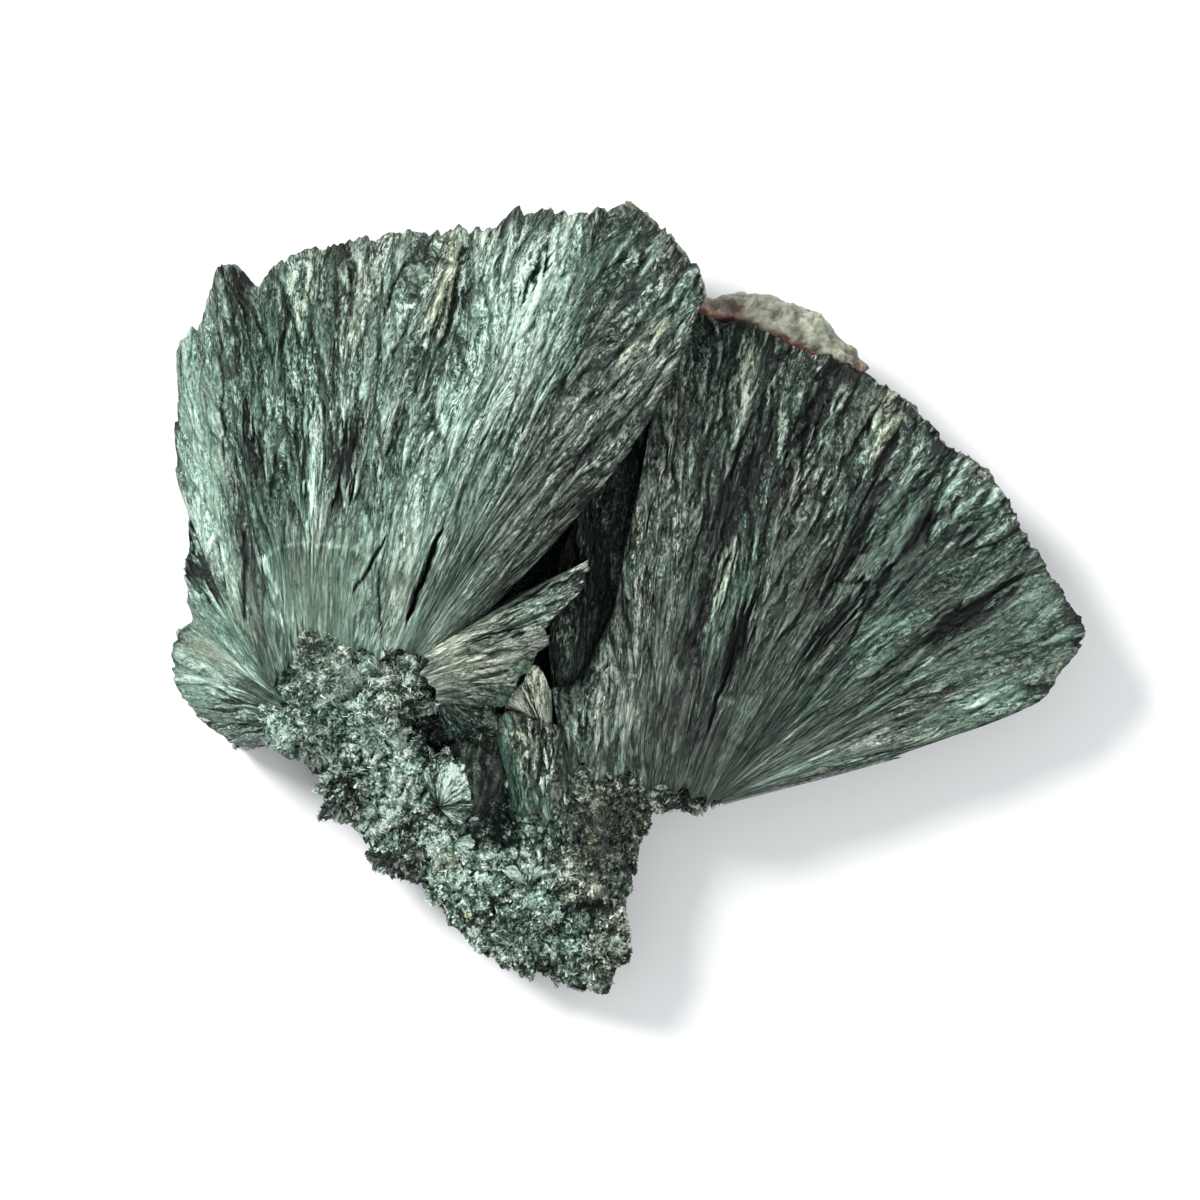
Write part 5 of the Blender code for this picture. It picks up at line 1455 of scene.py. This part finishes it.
def flake_tree():
    """Geometry Nodes: scatter small spikes over a surface, tinted like the place they're on.

    Its sizes are in metres, because it works on the finished pieces. No flake starts lower
    than Lowest, so none pokes through the specimen's resting face.
    """
    tree = bpy.data.node_groups.new("flakes", "GeometryNodeTree")
    sockets = {}
    for title, kind, default in (
            ("Surface", "NodeSocketObject", None), ("Density", "NodeSocketFloat", 1.0e6),
            ("Smallest", "NodeSocketFloat", 0.0002), ("Largest", "NodeSocketFloat", 0.0005),
            ("Seed", "NodeSocketInt", 1), ("Lowest", "NodeSocketFloat", 0.0023),
            ("Material", "NodeSocketMaterial", None)):
        sockets[title] = tree.interface.new_socket(title, in_out="INPUT", socket_type=kind)
        if default is not None:
            sockets[title].default_value = default
    tree.interface.new_socket("Geometry", in_out="OUTPUT", socket_type="NodeSocketGeometry")
    given = add_node(tree, "NodeGroupInput").outputs
    surface = add_node(tree, "GeometryNodeObjectInfo", {"Object": given["Surface"]})
    place = add_node(tree, "GeometryNodeInputPosition").outputs["Position"]
    height = add_node(tree, "ShaderNodeSeparateXYZ", {0: place}).outputs["Z"]
    above = add_node(tree, "FunctionNodeCompare", {0: height, 1: given["Lowest"]},
                     operation="GREATER_THAN").outputs["Result"]
    scatter = add_node(tree, "GeometryNodeDistributePointsOnFaces", {
        "Mesh": surface.outputs["Geometry"], "Selection": above, "Density": given["Density"],
        "Seed": given["Seed"]})
    cone = add_node(tree, "GeometryNodeMeshCone", {
        "Vertices": 3, "Radius Bottom": 0.23, "Radius Top": 0.0, "Depth": 1.0})
    sunk = add_node(tree, "GeometryNodeTransform", {
        "Geometry": cone.outputs["Mesh"], "Translation": (0.0, 0.0, -0.25),
        "Scale": (1.0, 0.4, 1.0)})
    tilt = add_node(tree, "FunctionNodeRandomValue", {
        0: (-1.45, -1.45, 0.0), 1: (1.45, 1.45, 6.28), "Seed": given["Seed"]},
        data_type="FLOAT_VECTOR")
    turned = add_node(tree, "FunctionNodeRotateRotation", {
        "Rotation": scatter.outputs["Rotation"], "Rotate By": tilt.outputs[0]},
        rotation_space="LOCAL")
    size = add_node(tree, "FunctionNodeRandomValue", {
        2: given["Smallest"], 3: given["Largest"], "Seed": given["Seed"]}, data_type="FLOAT")
    spikes = add_node(tree, "GeometryNodeInstanceOnPoints", {
        "Points": scatter.outputs["Points"], "Selection": above,
        "Instance": sunk.outputs["Geometry"],
        "Rotation": turned.outputs["Rotation"], "Scale": size.outputs[1]})
    ground = add_node(tree, "GeometryNodeInputNamedAttribute", {"Name": "tint"},
                      data_type="FLOAT_COLOR").outputs["Attribute"]
    parts = add_node(tree, "FunctionNodeSeparateColor", {0: ground}).outputs
    own = add_node(tree, "FunctionNodeRandomValue", {
        2: -0.35, 3: 0.6, "Seed": given["Seed"]}, data_type="FLOAT")
    change = add_node(tree, "ShaderNodeMath", {0: own.outputs[1], 1: parts[3]},
                      operation="MULTIPLY")
    pale = add_node(tree, "ShaderNodeMath", {0: parts[0], 1: change.outputs[0]},
                    operation="ADD")
    colour = add_node(tree, "FunctionNodeCombineColor", {
        0: pale.outputs[0], 1: parts[1], 2: parts[2], 3: 0.4})
    tinted = add_node(tree, "GeometryNodeStoreNamedAttribute", {
        "Geometry": spikes.outputs["Instances"], "Name": "tint", "Value": colour.outputs[0]},
        data_type="FLOAT_COLOR", domain="INSTANCE")
    real = add_node(tree, "GeometryNodeRealizeInstances", {"Geometry": tinted.outputs[0]})
    painted = add_node(tree, "GeometryNodeSetMaterial", {
        "Geometry": real.outputs[0], "Material": given["Material"]})
    add_node(tree, "NodeGroupOutput", {0: painted.outputs[0]})
    return tree, {title: socket.identifier for title, socket in sockets.items()}


flakes_tree, flake_inputs = flake_tree()


def flake_piece(name, surface, density, smallest, largest, seed):
    """The flakes on one piece as a plain mesh: so many per square mm, sizes in mm."""
    carrier = bpy.data.objects.new(name, bpy.data.meshes.new(name + "_empty"))
    scene.collection.objects.link(carrier)
    grown = carrier.modifiers.new("flakes", "NODES")
    grown.node_group = flakes_tree
    for title, setting in (("Surface", surface), ("Density", density * 1.0e6),
                           ("Smallest", smallest * MM), ("Largest", largest * MM),
                           ("Seed", seed), ("Material", granular_chlorite)):
        grown[flake_inputs[title]] = setting
    bpy.context.view_layer.update()
    found = carrier.evaluated_get(bpy.context.evaluated_depsgraph_get())
    mesh = bpy.data.meshes.new_from_object(found)
    carrier.modifiers.remove(grown)
    carrier.data = mesh
    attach(carrier, "root")
    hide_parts("seraphinite")


flake_piece("slope_flakes", root_slope, density=3.6, smallest=0.45, largest=1.15, seed=3)
flake_piece("lump_flakes", root_lumps, density=2.7, smallest=0.4, largest=1.0, seed=4)

# ---------------------------------------------------------------- calcite
# A rind of massive pale calcite on the upper right rim, with a thin reddish brown contact
# where it sits on the chlorite. It's a piece of its own, fixed by growth in its seat.
# Each station along it: inner edge, outer edge, foot and top.
RIND = [
    ((-1.6, 44.6), (-0.6, 47.3), 13.0, 20.0),
    ((1.2, 43.0), (2.2, 46.0), 10.0, 21.5),
    ((3.6, 40.9), (5.1, 42.8), 8.0, 21.5),
    ((6.4, 37.6), (8.3, 39.2), 6.5, 20.5),
    ((7.8, 34.7), (9.4, 36.3), 5.5, 17.5),
    ((11.6, 33.3), (12.6, 36.7), 5.0, 14.6),
    ((15.2, 31.8), (16.6, 36.9), 4.5, 14.8),
    ((18.4, 30.5), (20.4, 35.3), 4.5, 14.6),
    ((21.6, 29.3), (24.2, 33.0), 5.0, 14.4),
    ((25.2, 27.8), (26.9, 29.9), 5.5, 14.0),
    ((27.6, 26.6), (28.9, 27.6), 7.0, 13.2),
]
# Its cross-section: corners by their share of its width and of its height.
RIND_CORNERS = [(0.0, 0.0), (0.0, 0.96), (0.25, 1.0), (0.6, 0.98), (0.88, 0.9), (1.0, 0.7),
                (0.97, 0.4), (0.6, 0.0), (0.0, 0.0)]
RIND_COLUMNS, RIND_RING = 190, 72
# The line where the calcite meets the chlorite, seen from above.
CONTACT_LINE = [
    (7.6, 36.2), (8.4, 34.7), (9.2, 34.1), (12.1, 33.6), (14.6, 33.0), (16.1, 32.2),
    (18.2, 31.4), (20.2, 30.6), (22.2, 29.6), (25.0, 28.5), (28.0, 27.2),
]
# Darker stains on it: place and half widths.
RIND_STAINS = [(12.1, 35.2, 1.0, 0.9), (20.1, 34.2, 0.5, 1.6)]

rind = smooth_between([inner + outer + (low, high) for inner, outer, low, high in RIND],
                      np.linspace(0, len(RIND) - 1, RIND_COLUMNS))
rind_low, rind_high = rind[:, 4:5], rind[:, 5:6]
rind_across = rind[:, 2:4] - rind[:, :2]
rind_wide = np.linalg.norm(rind_across, axis=1)[:, None]
rind_across = rind_across / rind_wide
corners = np.array(RIND_CORNERS)
round_it = np.linspace(0, len(corners) - 1, RIND_RING, endpoint=False)
ring_out, ring_up = [np.interp(round_it, np.arange(len(corners)), share)[None, :]
                     for share in corners.T]
ring_out = ring_out * rind_wide
ring_up = rind_low + ring_up * (rind_high - rind_low)
place_x = rind[:, :1] + rind_across[:, :1] * ring_out
place_y = rind[:, 1:2] + rind_across[:, 1:2] * ring_out

# Bumps of three sizes, and none on the inner face, which has to keep clear of the rim.
swell = 0
for number, (size, rise) in enumerate([(3.2, 0.5), (1.1, 0.4), (0.45, 0.18)]):
    bumps = soft_noise(place_x / size, place_y / size, 900 + number, ring_up / size)
    swell = swell + rise * bumps
free = smooth_step(ring_out / (0.4 * rind_wide))
place_x = place_x + rind_across[:, :1] * swell * free
place_y = place_y + rind_across[:, 1:2] * swell * free
rind_points = np.stack([place_x, place_y, ring_up + swell * free * 0.8], axis=2).reshape(-1, 3)

line_x, line_y = np.array(CONTACT_LINE).T
above_line = place_y - np.interp(place_x, line_x, line_y)
frayed_line = 0.8 * soft_noise(place_x / 0.7, place_y / 0.7, 903)
contact = np.clip(1.1 - above_line / 0.6 + frayed_line, 0, 1)
contact = contact * smooth_step((place_x - CONTACT_LINE[0][0]) / 0.8)
stain = 0
for stain_x, stain_y, half_x, half_y in RIND_STAINS:
    stain = stain + np.exp(-((place_x - stain_x) / half_x) ** 2
                           - ((place_y - stain_y) / half_y) ** 2)
stain = stain + smooth_step((place_x - 25.6) / 2.0)
shaded = 0.34 * smooth_step((9.2 - place_x) / 1.5)
left_part = smooth_step((14.6 - place_x) / 1.2) * smooth_step((36.6 - place_y) / 1.6)
warmth = 0.7 * left_part + 0.3 * stain + 0.6 * np.exp(-np.clip(above_line, 0, 9) / 0.9)
# The rind is paler on its bumps, a painted highlight, and darker at its left end, painted shade.
rind_tint = np.stack([0.35 + 0.42 * swell - 0.35 * stain - shaded, contact,
                      np.clip(warmth, 0, 1), np.ones_like(contact)], axis=2).reshape(-1, 4)


def calcite_material():
    """Calcite whose tint holds how pale it is, how near the contact and how warm."""
    material = bpy.data.materials.new("massive_calcite")
    material.use_nodes = True
    tree = material.node_tree
    shader = tree.nodes["Principled BSDF"]
    tint = add_node(tree, "ShaderNodeAttribute", attribute_name="tint")
    amounts = add_node(tree, "ShaderNodeSeparateColor", {0: tint}).outputs
    place = place_in_mm(tree)
    cloud = stone_mottle(tree, place, (0.9, 0.9, 0.9), 6.0, 0.8)
    mottle = add_node(tree, "ShaderNodeMath", {0: cloud, 1: 0.5}, operation="SUBTRACT")
    mottle = add_node(tree, "ShaderNodeMath", {0: mottle, 1: 1.6}, operation="MULTIPLY")
    pale = add_node(tree, "ShaderNodeMath", {0: amounts["Red"], 1: mottle}, operation="ADD",
                    use_clamp=True)
    body = add_node(tree, "ShaderNodeValToRGB", {"Fac": pale}, [
        (0.0, "#4c4c3e"), (0.4, "#858a76"), (0.7, "#a5aa97"), (1.0, "#c9cdbf")])
    pink = add_node(tree, "ShaderNodeValToRGB", {"Fac": pale}, [
        (0.0, "#40302a"), (0.4, "#87705f"), (0.7, "#b29f8b"), (1.0, "#d6c8b8")])
    edge = add_node(tree, "ShaderNodeValToRGB", {"Fac": cloud}, [
        (0.3, "#2a100c"), (0.5, "#55291c"), (0.7, "#8a5a44")])
    beige = add_node(tree, "ShaderNodeMix", {0: amounts["Blue"], 6: body, 7: pink},
                     data_type="RGBA").outputs[2]
    full = add_node(tree, "ShaderNodeMix", {0: amounts["Green"], 6: beige, 7: edge},
                    data_type="RGBA").outputs[2]
    tree.links.new(full, shader.inputs["Base Color"])
    ridge = add_node(tree, "ShaderNodeBump", {
        "Height": stone_mottle(tree, place, (2.0, 2.0, 2.0), 4.0), "Strength": 0.6,
        "Distance": 0.3 * MM})
    tree.links.new(ridge.outputs["Normal"], shader.inputs["Normal"])
    shader.inputs["Roughness"].default_value = 0.5
    shader.inputs["IOR"].default_value = 1.6
    return material


# Massive calcite, broken: a waxy grey-green beige that is pinkish brown near the contact.
massive_calcite = calcite_material()
stone_piece("calcite_rind", rind_points, loft_faces(RIND_COLUMNS, RIND_RING), rind_tint,
            rind_points, massive_calcite, node="calcite")
